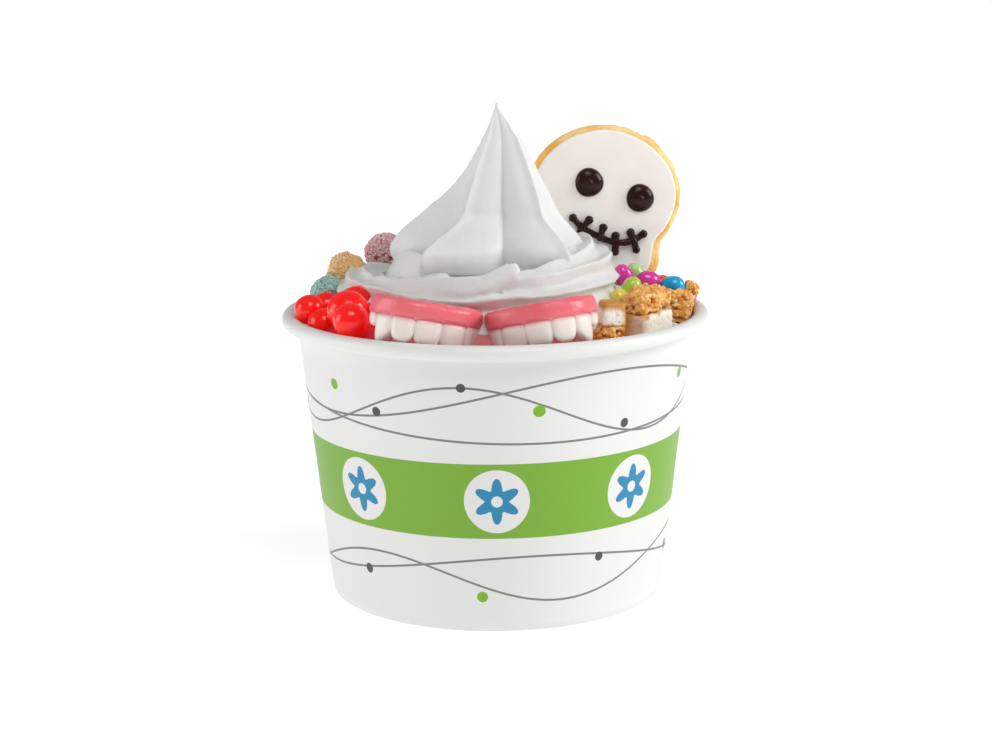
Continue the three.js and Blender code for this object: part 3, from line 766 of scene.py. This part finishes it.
def tooth_front(t):
    """How far the front of the teeth is from the arch's centre line: each tooth is nearly flat, and there
    is a soft notch between two."""
    across = np.clip(np.abs(tooth_places(t)[1]), 0, 1)
    return ARCH_THICKNESS / 2 - 0.35 + 0.65 * (1 - across**4.5)


def teeth_rings():
    """The strip of teeth: a rounded upright section carried along the arch. Its foot follows the teeth's
    edges, and its front leans in a little towards them."""
    t = np.linspace(-0.97, 0.97, 560)[:, None]
    around = circle(56)
    edge = tooth_edge(t)
    half = ARCH_THICKNESS / 2
    end = np.sqrt(np.clip(1 - (np.clip(np.abs(t) - 0.93, 0, 1) / 0.041) ** 2, 0.002, 1))
    side = rounded(np.cos(around), 0.55)
    up = rounded(np.sin(around), 0.5)
    middle = (TOOTH_HEIGHT + edge) / 2
    z = middle + (TOOTH_HEIGHT - edge) / 2 * end * up
    lean = 0.3 * (1 - up) / 2
    out = np.where(side > 0, side * (tooth_front(t) * end - lean), side * half * end)
    return arch(t, out, z)


def gum_rings():
    """The gum: a band carried along the arch, flush with the teeth at its foot and rounded at its top, with
    a groove along the top, long soft wrinkles, and a foot that reaches down a little between the teeth."""
    t = np.linspace(-0.99, 0.99, 420)[:, None]
    around = circle(72)
    between = np.abs(np.clip(tooth_places(t)[1], -1, 1)) ** 6
    end = np.sqrt(np.clip(1 - (np.clip(np.abs(t) - 0.945, 0, 1) / 0.0405) ** 2, 0.003, 1)) ** 0.7
    side = rounded(np.cos(around), 0.7)
    up = rounded(np.sin(around), 0.66)
    foot = TOOTH_HEIGHT - 0.5 - 0.45 * between
    top = TOOTH_HEIGHT + GAP + GUM_HEIGHT
    groove = 0.45 * np.exp(-(((side - 0.2) / 0.2) ** 2)) * (up > 0)
    ripple = 0.22 * np.exp(-(((side + 0.35) / 0.16) ** 2)) * (up > 0)
    z = (foot + top) / 2 + (top - foot) / 2 * end * up - (groove + ripple) * end
    front = ARCH_THICKNESS / 2 + 0.36 - 0.46 * (1 + up) / 2
    places = columns(t * 7, around * 2.6, 0)
    wrinkle = 0.13 * lumps(places, 1.0, 8) * end
    out = np.where(side > 0, side * front, side * ARCH_THICKNESS / 2) * end + wrinkle * side
    return arch(t, out, z + wrinkle * up)


def jelly_teeth():
    """Cast gelatine with milk powder: cream white that light enters deeply, tinged with coral by the gum."""
    inputs = {"Roughness": 0.28, "IOR": 1.42, **scattering(0.6, (1.0, 0.55, 0.45), 0.002)}
    tinge = ("near_gum", "#F09AA0", 0)
    return surface("gelatine_milky", {0: "#F1E6DF"}, [(420, 3, 0.2, 0.0003)], inputs, mark=tinge)


def jelly_gum():
    """Cast gelatine, coloured coral and oiled: soft gloss broken by fine wrinkles about 1.5 mm apart."""
    inputs = {"Roughness": 0.24, "IOR": 1.42, **scattering(0.5, (1.0, 0.3, 0.3), 0.002)}
    tones, edge = {0: "#EA6472", 1: "#F2868E"}, ("near_teeth", "#F2A0A4", 0)
    return surface("gelatine_coral", tones, [(650, 3, 0.45, 0.0003)], inputs, cloud=(160, 2), mark=edge)


milky, coral = jelly_teeth(), jelly_gum()
for side, (place, turn) in DENTURES.items():
    teeth = teeth_rings()
    row = skin(f"denture_{side}_teeth", posed(teeth, place, turn))
    toned(row, "near_gum", ease((teeth[..., 2] - TOOTH_HEIGHT + 1.5) / 1.5))
    finish(row, milky, "tooth")
    gum = gum_rings()
    band = skin(f"denture_{side}_gum", posed(gum, place, turn))
    toned(band, "near_teeth", ease((TOOTH_HEIGHT + 0.3 - gum[..., 2]) / 1.0))
    finish(band, coral, "gum")

# ---------------------------------------------------------------------------
# The cookie: a shortbread biscuit stamped out as a plain skull, flooded with white sugar icing, with two
# chocolate drops for eyes and a piped chocolate mouth. It stands in the yogurt at the back of the right side.

COOKIE_PLACE, COOKIE_TURN = (26.8, 15.5, 92), (-6, 3, 7)
COOKIE_THICKNESS = 4.6
COOKIE_HALF_WIDTH, COOKIE_HALF_HEIGHT = 19.0, 16.9
JAW_HALF_WIDTH, CHIN_DROP, JAW_CORNER = 14.4, 21.5, 6.0
ICING_THICKNESS, ICING_INSET = 1.1, 1.3
FACE = -ICING_THICKNESS - GAP


def skull_outline(count=480):
    """A wide oval cranium from 40 degrees below one side to 40 below the other, then a square jaw with
    round corners. The corners between them are softened by averaging along the line."""
    sweep = np.radians(np.linspace(-40, 220, 200))
    cranium = columns(COOKIE_HALF_WIDTH * np.cos(sweep), COOKIE_HALF_HEIGHT * np.sin(sweep))
    corner = np.radians(np.linspace(180, 270, 30))
    centre = np.array([JAW_HALF_WIDTH, CHIN_DROP]) - JAW_CORNER
    left = JAW_CORNER * columns(np.cos(corner), np.sin(corner)) - centre
    right = left[::-1] * [-1, 1]
    line = evenly(np.vstack([cranium, left, right]), count)
    for _ in range(14):
        line = (np.roll(line, 1, axis=0) + 2 * line + np.roll(line, -1, axis=0)) / 4
    return line


def outline_normals(line):
    """Unit vectors that point outwards along a closed line that runs anticlockwise."""
    along = np.roll(line, -1, axis=0) - np.roll(line, 1, axis=0)
    out = columns(along[:, 1], -along[:, 0])
    return out / np.linalg.norm(out, axis=1, keepdims=True)


def slab_rings(inset, front, back, edge, dome=0.0):
    """A slab over the outline drawn in by an inset: rings grow from the middle of the front, turn round an
    edge of that radius, and shrink to the middle of the back. The front stands out by dome in the middle."""
    line = skull_outline()
    outwards = outline_normals(line)
    flat = line - outwards * (inset + edge)
    k = np.sin(np.linspace(0.02, pi / 2, 40))[:, None, None]
    middle = np.array([0.0, -2.0])
    face = middle + (flat - middle) * k
    bend = np.linspace(0, pi, 26)[1:-1, None, None]
    side = flat + outwards * edge * np.sin(bend) ** 0.7
    across = np.vstack([face, side, face[::-1]])
    depth = (front + back) / 2 - (back - front) / 2 * np.cos(bend)
    depth = np.vstack([front - dome * (1 - k**3), depth, back + 0 * k])
    depth = np.broadcast_to(depth, (*across.shape[:2], 1))
    return np.concatenate([across[..., :1], depth, across[..., 1:]], axis=-1)


def biscuit_rings():
    """The biscuit, with a crumbly, wavering edge and a back pitted by the oven tray."""
    rings = slab_rings(0, 0, COOKIE_THICKNESS, 1.6)
    rings += 0.3 * lumps(rings, 3.2, 5)[..., None] * [1, 0.5, 1]
    return rings + 0.16 * lumps(rings, 1.1, 6)[..., None]


def icing_rings():
    """The icing: a domed flood with a fat rounded edge that wanders a little, poured nearer the left, so
    more of the biscuit shows at the right and beside the right of the jaw."""
    rings = slab_rings(ICING_INSET, FACE, -0.1, 0.9, 0.35)
    right = ease(rings[..., 0] / 8)
    rings[..., 0] -= 0.15 + right * (0.3 + 1.0 * ease((-rings[..., 2] - 7) / 8))
    return rings + 0.22 * lumps(rings, 6.0, 7)[..., None] * [1, 0.25, 1]


def shortbread():
    """Butter biscuit, baked: pale gold mottled with a deeper gold, and a sandy crumb about 0.7 mm across."""
    inputs = {"Roughness": 0.8, "Subsurface Weight": 0.1, "Subsurface Scale": 0.001}
    tones = {0.35: "#FFB858", 0.65: "#FFE29C"}
    return surface("shortbread_baked", tones, [(1400, 3, 0.6, 0.0005)], inputs, cloud=(190, 4))


def sugar_icing():
    """Royal icing, poured and dried: warm white, a satin crust with slow waves 5 mm long."""
    inputs = {"Roughness": 0.36, **scattering(0.25, (1.0, 0.7, 0.6), 0.0015)}
    tones = {0: "#FCF6F2", 1: "#F6EBE4"}
    return surface("royal_icing_dried", tones, [(200, 1, 0.15, 0.0005)], inputs, cloud=(200, 1))


def drop_rings(x, z, radius):
    """A chocolate drop on the icing: a low dome that runs up into a small pulled point at its middle."""
    share = np.linspace(1, 0.02, 40)[:, None]
    around = circle(72)
    height = 1.75 * np.clip(1 - share**2.6, 0, 1) ** 0.6 + 0.4 * np.exp(-((share / 0.13) ** 2))
    wobble = radius * share * (1 + 0.02 * np.sin(3 * around + x))
    rings = turned(wobble, around, FACE - 0.25 - height)[..., [0, 2, 1]] + [x, 0, z]
    foot = rings[:1] * [1, 0, 1] + [0, FACE + 0.2, 0]
    return np.concatenate([foot, rings])


def piped_rings(points, radius, depth):
    """A round thread of chocolate along a line of [x, z] on the face: it swells towards both rounded ends."""
    count = 24 * len(points)
    line = smooth_line(points, count)
    along = np.gradient(line, axis=0)
    along /= np.linalg.norm(along, axis=1, keepdims=True)
    share = np.linspace(0, 1, count)
    run = share * np.linalg.norm(np.diff(line, axis=0), axis=1).sum()
    to_end = np.minimum(run, run[-1] - run)
    thick = radius * (1 + 0.25 * np.exp(-(((to_end - 0.9) / 0.7) ** 2)) + 0.05 * np.sin(run * 2.1))
    thick = (thick * np.sqrt(np.clip(1 - (1 - np.clip(to_end / radius, 0, 1)) ** 2, 0.01, 1)))[:, None]
    around = circle(28)
    x = line[:, :1] - along[:, 1:] * thick * np.cos(around)
    z = line[:, 1:] + along[:, :1] * thick * np.cos(around)
    return columns(x, depth + thick * np.sin(around), z)


def dark_chocolate():
    """Dark couverture, melted and set: nearly black brown, smooth and shiny with soft dents."""
    inputs = {"Roughness": 0.24, "Specular IOR Level": 0.22}
    tones = {0: "#200B07", 1: "#34160F"}
    return surface("dark_chocolate_set", tones, [(420, 2, 0.3, 0.0005)], inputs, cloud=(420, 2))


SMILE = [(-8.7, -5), (-5.5, -8), (-1.2, -10.2), (2.5, -11.3), (6.4, -11), (10.3, -8.6)]
STITCHES = [
    [(-3.4, -5.3), (-5.2, -7.6), (-6.6, -9.9)],
    [(-0.2, -6.9), (-0.9, -9.0), (-1.4, -11.2)],
    [(2.5, -8.7), (2.6, -11.6), (2.5, -14.6)],
    [(5.8, -7.9), (7.1, -10.9), (8, -13.9)],
]
PIPING_RADIUS = 0.8

biscuit = skin("cookie_biscuit", posed(biscuit_rings(), COOKIE_PLACE, COOKIE_TURN))
finish(biscuit, shortbread(), "biscuit")
icing = skin("cookie_icing", posed(icing_rings(), COOKIE_PLACE, COOKIE_TURN))
finish(icing, sugar_icing(), "icing")
chocolate = dark_chocolate()
for side, x, z, radius in [("left", -4.2, 2.9, 3.5), ("right", 8.4, -0.5, 3.4)]:
    drop = skin(f"cookie_eye_{side}", posed(drop_rings(x, z, radius), COOKIE_PLACE, COOKIE_TURN))
    finish(drop, chocolate, "chocolate")
threads = []
for line, lift in [(SMILE, 0.3), *((stitch, 0.75) for stitch in STITCHES)]:
    thread = piped_rings(line, PIPING_RADIUS, FACE - 0.55 * PIPING_RADIUS - lift)
    threads.append(skin("thread", posed(thread, COOKIE_PLACE, COOKIE_TURN)))
finish(joined("cookie_mouth", threads), chocolate, "chocolate")

# ---------------------------------------------------------------------------
# Bites of baked cheesecake, cut by hand from a tray bake: a crust of pressed brown-sugar crumbs on a dense
# cream filling, whose outer faces have caught some colour. They are pushed into the yogurt along the right.

# Each bite is [place, size, the crust's share of the height, turn, taper away from the crust, and how brown
# its left face, its right face and its far end from the crust are]. The first lies crust down.
BITES = [
    [(25.7, -31.0, 68.7), (5.8, 6.4, 9.8), 0.52, (180, 4, 12), 0.3, 0.1, 0.7, 0.85],
    [(34.0, -19.4, 68.8), (12, 8.8, 11), 0.4, (3, -2, 48), 0.0, 1.0, 0.0, 0.0],
    [(42.4, -7.3, 67.4), (6.4, 6.4, 8.4), 0.8, (0, 10, -8), 0.0, 0.6, 0.3, 0.0],
    [(45.8, 0.6, 69.0), (3.4, 6, 7), 0.3, (0, 18, 0), 0.0, 1.0, 1.0, 1.0],
    [(28.8, 29.6, 68.2), (8.4, 8.2, 8.8), 0.45, (0, 0, 45), 0.0, 0.5, 0.2, 0.0],
]
SHOULDER_DROP = 3.4
BITE_SEAM = 0.1
CRUMB_SIZE, CRUMBS_PER_SIZE = 0.9, 1.6


def rounded_block(size, squareness, rows=110, columns=160):
    """A ball pushed out towards a box: each direction d goes to d / (|x|^n + |y|^n + |z|^n)^(1/n)."""
    shape = ball_directions(rows, columns)
    reach = (np.abs(shape) ** squareness).sum(axis=-1, keepdims=True) ** (-1 / squareness)
    return shape * reach * np.array(size) / 2, shape


def crust_rings(size, seed):
    """The crust: a block of crumb 2 mm, 1 mm and 0.5 mm across, with pits between the crumbs, and one
    corner of its top broken down. The second result is how deep in a pit each point is, from 0 to 1, which
    the crumb's material darkens as painted shade."""
    points, outwards = rounded_block(size, 6)
    across = points[..., 1] / size[1] - points[..., 0] / size[0]
    points[..., 2] -= SHOULDER_DROP * size[0] / 12 * ease((across - 0.3) / 0.6) * (outwards[..., 2] > 0)
    coarse = lumps(points, 2.3, seed)
    fine = lumps(points, 1.05, seed + 1)
    grit = lumps(points, 0.5, seed + 2)
    pits = ease(-fine * 2.4 - 0.5) + 0.8 * ease(-coarse * 2.0 - 0.7)
    shift = 0.28 * coarse + 0.3 * fine + 0.16 * grit - 0.6 * pits
    # The depth, with the lowest grains added, is painted shade in the crumb's colour.
    return points + outwards * shift[..., None], np.clip(pits + 0.35 * (grit < -0.3), 0, 1)


def filling_rings(size, seed):
    """The filling: a block cut with a knife, with soft edges, a few drag marks and pinholes, and rough with
    crumb along the crust."""
    points, outwards = rounded_block(size, 7)
    drag = lumps(points * [1, 1, 0.3], 2.4, seed)
    holes = ease(-lumps(points, 0.8, seed + 1) * 2.2 - 1.2)
    crumbed = ease((points[..., 2] / size[2] - 0.3 + 0.16 * lumps(points, 1.4, seed + 3)) / 0.2)
    shift = 0.14 * drag + 0.06 * lumps(points, 0.6, seed + 2) - 0.16 * holes
    shift += crumbed * (0.3 * lumps(points, 1.0, seed + 4) + 0.16 * lumps(points, 0.5, seed + 5))
    return points + outwards * shift[..., None], holes, crumbed


def brown_sugar_crumb():
    """Biscuit crumb bound with butter and brown sugar, baked: golden lumps, darkened in their pits as
    painted shade, a dry broken face, and pale spots at random that are partly the crumb's own tone and
    partly painted sugar glints."""
    inputs = {"Roughness": 0.62, **scattering(0.15, (1.0, 0.5, 0.2), 0.001)}
    # The dark pit tone is painted shade, and the palest tone is partly painted glints.
    tones, pits = {0.3: "#E69840", 0.5: "#FFBC60", 0.68: "#FFDEA8"}, ("pit_shade", "#B0641F", 0)
    reliefs = [(1700, 3, 0.7, 0.0005)]
    return surface("biscuit_crumb_caramelised", tones, reliefs, inputs, cloud=(520, 4), mark=pits)


def cheesecake_filling():
    """Baked cream cheese and egg: a dense, moist cream colour that turns caramel where it met the tin, and a
    little darker in its pinholes as painted shade.
    """
    inputs = {"Roughness": 0.5, **scattering(0.3, (1.0, 0.7, 0.35), 0.0015)}
    # The caramel tone also lays painted shade in the pinholes.
    tones, browned_and_hole_shade = {0: "#FEF8EC", 1: "#FDF5E6"}, ("baked", "#CC8E44", 0.9)
    reliefs = [(1300, 3, 0.4, 0.0004)]
    return surface("cheesecake_baked_cream", tones, reliefs, inputs, cloud=(300, 4), mark=browned_and_hole_shade)


def scattered(name, shape, places, sizes, seed):
    """One mesh of many copies of a small closed shape, (points, faces), each with a place, a size and a
    random turn about Z and X. The points stay in the order of the copies."""
    angles = np.random.default_rng(seed).uniform(0, 2 * pi, (len(places), 3))
    turns = np.array([Euler((about_x, 0, about_z)).to_matrix() for about_z, about_x, _ in angles])
    points, faces = shape
    every = np.einsum("nij,vj->nvi", turns, points) * np.asarray(sizes)[:, None, None] + places[:, None]
    corners = faces + (np.arange(len(places)) * len(points))[:, None, None]
    return meshed(name, every.reshape(-1, 3), corners.reshape(-1, faces.shape[1]).tolist())


def broken_lump():
    """A crumb: a small ball of eight sides and four rows of points, dented once. Its ends are closed."""
    rings = ball_directions(4, 8)
    rings = rings * (1 + 0.3 * lumps(rings, 0.9, 31))[..., None]
    points = np.vstack([rings.reshape(-1, 3), [[0, 0, -0.9], [0, 0, 0.85]]])
    k = np.arange(8)
    after = (k + 1) % 8
    row = 8 * np.arange(3)[:, None]
    below = columns(row + k, row + after, row + after + 8).reshape(-1, 3)
    above = columns(row + k, row + after + 8, row + k + 8).reshape(-1, 3)
    return points, np.vstack([below, above, columns(after, k, 32), columns(24 + k, 24 + after, 33)])


crumb_brown, cream_filling = brown_sugar_crumb(), cheesecake_filling()
crumb_places, crumb_sizes = [], []
rng = np.random.default_rng(11)
for number, (place, size, share, turn, taper, left_brown, right_brown, end_brown) in enumerate(BITES, 1):
    x, y, z = size
    thick = z * share
    deep = z - thick - BITE_SEAM
    crust, pits = crust_rings((x - 0.5, y - 0.5, thick + 0.3), number * 3)
    crust[..., 2] += (z - thick) / 2 + 0.15
    crust[..., :2] *= 1 + taper * crust[..., 2:] / z
    cap = skin(f"cheesecake_{number}_crust", posed(crust, place, turn))
    # The pits' depth darkens the crumb as painted shade.
    toned(cap, "pit_shade", pits)
    finish(cap, crumb_brown, "crumb")
    filling, holes, crumbed = filling_rings((x + 0.1, y + 0.1, deep + 0.8), number * 5)
    left_face = ease((-filling[..., 0] / x - 0.22) / 0.3) * left_brown
    left_face *= 0.3 + 0.7 * ease(filling[..., 1] / y + 0.5)
    right_face = ease((filling[..., 0] / x - 0.2) / 0.3) * right_brown
    far_end = ease((-filling[..., 2] / deep - 0.05) / 0.45) * end_brown
    filling[..., 2] += (deep - z) / 2
    filling[..., :2] *= 1 + taper * filling[..., 2:] / z
    body = skin(f"cheesecake_{number}_filling", posed(filling, place, turn))
    # The share of the holes here is painted shade in the pinholes.
    browned_and_hole_shade = left_face + right_face + far_end + 0.6 * crumbed + 0.15 * holes
    toned(body, "baked", np.clip(browned_and_hole_shade, 0, 1))
    finish(body, cream_filling, "cheesecake")
    count = int(CRUMBS_PER_SIZE * (x * y + (x + y) * thick) / CRUMB_SIZE**2)
    at = crust.reshape(-1, 3)
    at = at[rng.choice(len(at), count)]
    at = at[at[:, 2] > (z - thick) / 2 - thick * 0.2]
    crumb_places.append(posed(at, place, turn))
    crumb_sizes.append(CRUMB_SIZE * rng.uniform(0.25, 0.6, len(at)))

# ---------------------------------------------------------------------------
# Loose crumbs: bits of the crust that cling to its faces and have dropped round the bites.

FALLEN = 90
fallen_angle = np.radians(rng.uniform(-62, 28, FALLEN))
fallen_reach = rng.uniform(36, 44.5, FALLEN)
fallen = turned(fallen_reach, fallen_angle, fill_level(fallen_reach, fallen_angle) + 0.1)
crumb_places = np.vstack([*crumb_places, fallen])
crumb_sizes = np.concatenate([*crumb_sizes, rng.uniform(0.2, 0.55, FALLEN)])
crumbs = scattered("cheesecake_crumbs", broken_lump(), crumb_places, crumb_sizes, 12)
crumbs.data.shade_smooth()
finish(crumbs, crumb_brown, "crumb", alone=True)

# ---------------------------------------------------------------------------
# Candy eggs: chocolate seeds in a hard sugar shell, tumbled until they shine. They are heaped on the
# right, in front of the cookie and behind it.

EGG = (2.95, 2.3, 2.25)
EGGS = [
    ["pink", (30.5, -1.6, 74.9), (0, 62, 20)],
    ["lime", (31.7, -8.2, 72.9), (0, -60, 15)],
    ["pale_lime", (33.7, 4.6, 74.3), (10, 50, 40)],
    ["pink", (36.2, -1.2, 73.7), (0, 12, 10)],
    ["orange", (39.7, 3.8, 71.9), (0, 8, 40)],
    ["blue", (42.0, -1.6, 72.5), (0, 6, -14)],
    ["yellow", (29.0, -13.0, 71.0), (0, 70, 0)],
    ["blue", (38.6, 9.0, 69.6), (0, 10, 70)],
    ["pink", (36.6, 21.6, 69.4), (0, 10, 50)],
    ["blue", (19.4, 27.4, 72.2), (0, -8, -20)],
    ["pale_lime", (20.4, 34.2, 69.2), (0, 30, 10)],
    ["orange", (40.6, 15.6, 68.2), (0, 5, -60)],
]
# Each shell's two colours, which a cloud mottles together.
SHELLS = {
    "pink": ("#E93DAE", "#D42A98"),
    "lime": ("#BEE06C", "#B4D420"),
    "pale_lime": ("#BFE394", "#A9D67A"),
    "orange": ("#F0582E", "#E8401C"),
    "blue": ("#08B4F4", "#0A9EDC"),
    "yellow": ("#F3E36C", "#ECD64E"),
}
SHELL_SLOTS = {"pale_lime": "lime"}


def candy_egg(number, place, turn):
    """An egg: a ball drawn out along X and a little fuller at one end, its skin uneven by a hundredth."""
    shape = ball_directions(36, 56)
    full = 1 + 0.07 * shape[..., :1]
    points = shape * np.array(EGG) * np.concatenate([np.ones_like(full), full, full], axis=-1)
    points = points * (1 + 0.012 * lumps(shape, 0.6, number))[..., None]
    return skin(f"candy_egg_{number}", posed(points, place, turn))


def sugar_shell(name, upper, lower):
    """Panned sugar with a wax polish: a strong clear colour, slightly mottled, under a tight gloss."""
    inputs = {
        "Roughness": 0.22,
        "IOR": 1.5,
        "Coat Weight": 0.4,
        "Coat Roughness": 0.08,
        **scattering(0.15, (1.0, 1.0, 1.0), 0.0006),
    }
    tones, reliefs = {0: upper, 1: lower}, [(330, 2, 0.12, 0.0004)]
    return surface(f"panned_sugar_{name}", tones, reliefs, inputs, cloud=(330, 2))


shells = {name: sugar_shell(name, *tones) for name, tones in SHELLS.items()}
for number, (colour, place, turn) in enumerate(EGGS, 1):
    finish(candy_egg(number, place, turn), shells[colour], SHELL_SLOTS.get(colour, colour))

# ---------------------------------------------------------------------------
# Sour jellies: soft gelatine sweets rolled in coarse sour sugar, from the left round to the back. The body is
# lumpy and clear, and the sugar is loose crystals half a millimetre across.

JELLIES = [
    ["sour_red", (3.6, 3.6, 4.8), (-27.6, 17.0, 78.8), (0, 35, 0)],
    ["sour_orange", (4.4, 4, 4.6), (-35.5, 8.8, 74.6), (0, 20, 0)],
    ["sour_teal", (4, 3, 2.6), (-40.5, 2.6, 71.5), (0, -38, 10)],
    ["sour_orange", (4.2, 4, 5), (-22.4, 31.2, 71.6), (-18, 0, 30)],
    ["sour_teal", (3.6, 3.6, 4.6), (-33.6, 22.6, 70.6), (10, -20, 0)],
]
JELLY_TONES = {
    "sour_red": ("#8C1014", "#CC606C"),
    "sour_orange": ("#F2A228", "#FCDCA4"),
    "sour_teal": ("#2C7C70", "#92CEC8"),
}
CRYSTAL_TONES = {"sour_red": "#E29CA6", "sour_orange": "#FFCB7C", "sour_teal": "#92D2CA"}
CRYSTALS = 2600
CRYSTAL_SIZE = 0.3


def jelly_rings(half, seed):
    """A ball squashed to the half sizes and pressed into soft lumps 3 mm across."""
    shape = ball_directions(80, 110)
    bulge = 0.95 + 0.12 * lumps(shape, 0.7, seed) + 0.06 * lumps(shape, 0.27, seed + 1)
    bulge += 0.025 * lumps(shape, 0.12, seed + 2)
    return shape * np.array(half) * bulge[..., None]


def sour_jelly(name, deep, light):
    """Clear coloured gelatine, damp under its sugar: deep colour with a wet look in the gaps."""
    inputs = {"Roughness": 0.3, "IOR": 1.42, **scattering(0.4, (1.0, 0.6, 0.4), 0.0015)}
    tones, reliefs = {0: deep, 1: light}, [(1500, 2, 0.5, 0.0004)]
    return surface(f"gelatine_{name}", tones, reliefs, inputs, cloud=(380, 2))


def sugar_crystals(name, tone):
    """Coarse sour sugar: clear, hard-edged grains that look frosted white, tinted by the jelly beneath."""
    inputs = {"Roughness": 0.25, "IOR": 1.54, **scattering(0.3, (1.0, 0.9, 0.9), 0.0005)}
    return surface(f"sugar_crystals_{name}", {0: "#FBF6F0"}, [], inputs, mark=("clear", tone, 0))


GRAIN = (
    np.array(list(product((-0.5, 0.5), repeat=3))) * [1.0, 0.85, 1.2],
    np.array([[0, 1, 3, 2], [4, 6, 7, 5], [0, 4, 5, 1], [2, 3, 7, 6], [0, 2, 6, 4], [1, 5, 7, 3]]),
)
jelly_materials = {name: sour_jelly(name, *tones) for name, tones in JELLY_TONES.items()}
grain_materials = {name: sugar_crystals(name, tone) for name, tone in CRYSTAL_TONES.items()}
for number, (colour, half, place, turn) in enumerate(JELLIES, 1):
    rings = jelly_rings(half, 40 + number)
    body = skin(f"sour_jelly_{number}", posed(rings, place, turn))
    finish(body, jelly_materials[colour], colour)
    rng = np.random.default_rng(60 + number)
    weight = np.cos(np.linspace(-pi / 2, pi / 2, len(rings) + 2)[1:-1])
    row = rng.choice(len(rings), CRYSTALS, p=weight / weight.sum())
    at = rings[row, rng.integers(0, rings.shape[1], CRYSTALS)] * rng.uniform(1.0, 1.05, (CRYSTALS, 1))
    patchy = lumps(at, 1.8, 70 + number) > -0.5
    at = posed(at[patchy], place, turn)
    sizes = CRYSTAL_SIZE * rng.uniform(0.6, 1.7, len(at))
    coat = scattered(f"sour_jelly_{number}_sugar", GRAIN, at, sizes, 80 + number)
    toned(coat, "clear", np.repeat(rng.uniform(0, 1, len(at)) ** 0.35, len(GRAIN[0])))
    finish(coat, grain_materials[colour], colour, alone=True)

# ---------------------------------------------------------------------------
# The camera, the floor and the studio light: a long lens at arm's length, a sheet of paper, and three square
# lights in a pale room. They are made for the picture alone, so they ride on nothing.

CAMERA_PLACE = (0.00006, -0.4934, 0.15386)
CAMERA_PITCH = 0.2043
CAMERA_ROLL = -0.0092
CAMERA_LENS = 76.5


def camera():
    """A long lens at arm's length that looks a little down on the cup."""
    data = bpy.data.cameras.new("camera")
    data.sensor_width = 36.0
    data.lens = CAMERA_LENS
    data.clip_end = 50.0
    made = placed("camera", data)
    tilt = Matrix.Rotation(pi / 2 - CAMERA_PITCH, 4, "X")
    made.matrix_world = Matrix.Translation(CAMERA_PLACE) @ tilt @ Matrix.Rotation(CAMERA_ROLL, 4, "Z")
    bpy.context.scene.camera = made


camera()

FLOOR_SIZE = 24000.0
SHADE_FROM, SHADE_TO, SHADE_GLOW, FLOOR_GLOW = 0.1, 0.5, 0.76, 0.96


def white_floor():
    """A sheet of white studio paper, which glows so that it comes out an even white. It glows less round the
    cup: painted shade where its contact shadow falls."""
    corners = np.array([[-1, -1, 0], [1, -1, 0], [1, 1, 0], [-1, 1, 0]]) * FLOOR_SIZE / 2
    piece = meshed("floor", corners, [[0, 1, 2, 3]])
    made, tree = material("studio_paper_white")
    place = node(tree, "TexCoord").outputs["Object"]
    reach = node(tree, "VectorMath", [place], operation="LENGTH").outputs["Value"]
    ends = [reach, SHADE_FROM, SHADE_TO, SHADE_GLOW, FLOOR_GLOW]
    # The glow is lower near the cup: painted shade round its foot.
    glow = node(tree, "MapRange", ends, interpolation_type="SMOOTHSTEP")
    inputs = {"Base Color": (0.4, 0.4, 0.4, 1), "Roughness": 1.0, "Emission Color": (1, 1, 1, 1)}
    shader = node(tree, "BsdfPrincipled", {**inputs, "Emission Strength": glow})
    node(tree, "OutputMaterial", {"Surface": shader})
    piece.data.materials.append(made)


white_floor()


LIT_POINT = Vector((0, 0, 0.07))


def softbox(name, place, size, watts):
    """A square area light that faces the middle of the object."""
    data = bpy.data.lights.new(name, "AREA")
    data.energy = watts
    data.size = size
    made = placed(name, data)
    made.location = place
    made.rotation_euler = (LIT_POINT - made.location).to_track_quat("-Z", "Y").to_euler()


softbox("key", (0.95, -0.12, 0.55), 0.45, 6.2)
softbox("fill", (-0.95, -0.05, 0.30), 0.6, 3.0)
softbox("top", (0.10, -0.55, 0.95), 0.5, 3.7)

world = bpy.data.worlds.new("studio")
world.use_nodes = True
background = world.node_tree.nodes["Background"]
background.inputs["Color"].default_value = (1, 1, 1, 1)
background.inputs["Strength"].default_value = 0.22
bpy.context.scene.world = world
bpy.context.scene.view_settings.view_transform = "Standard"
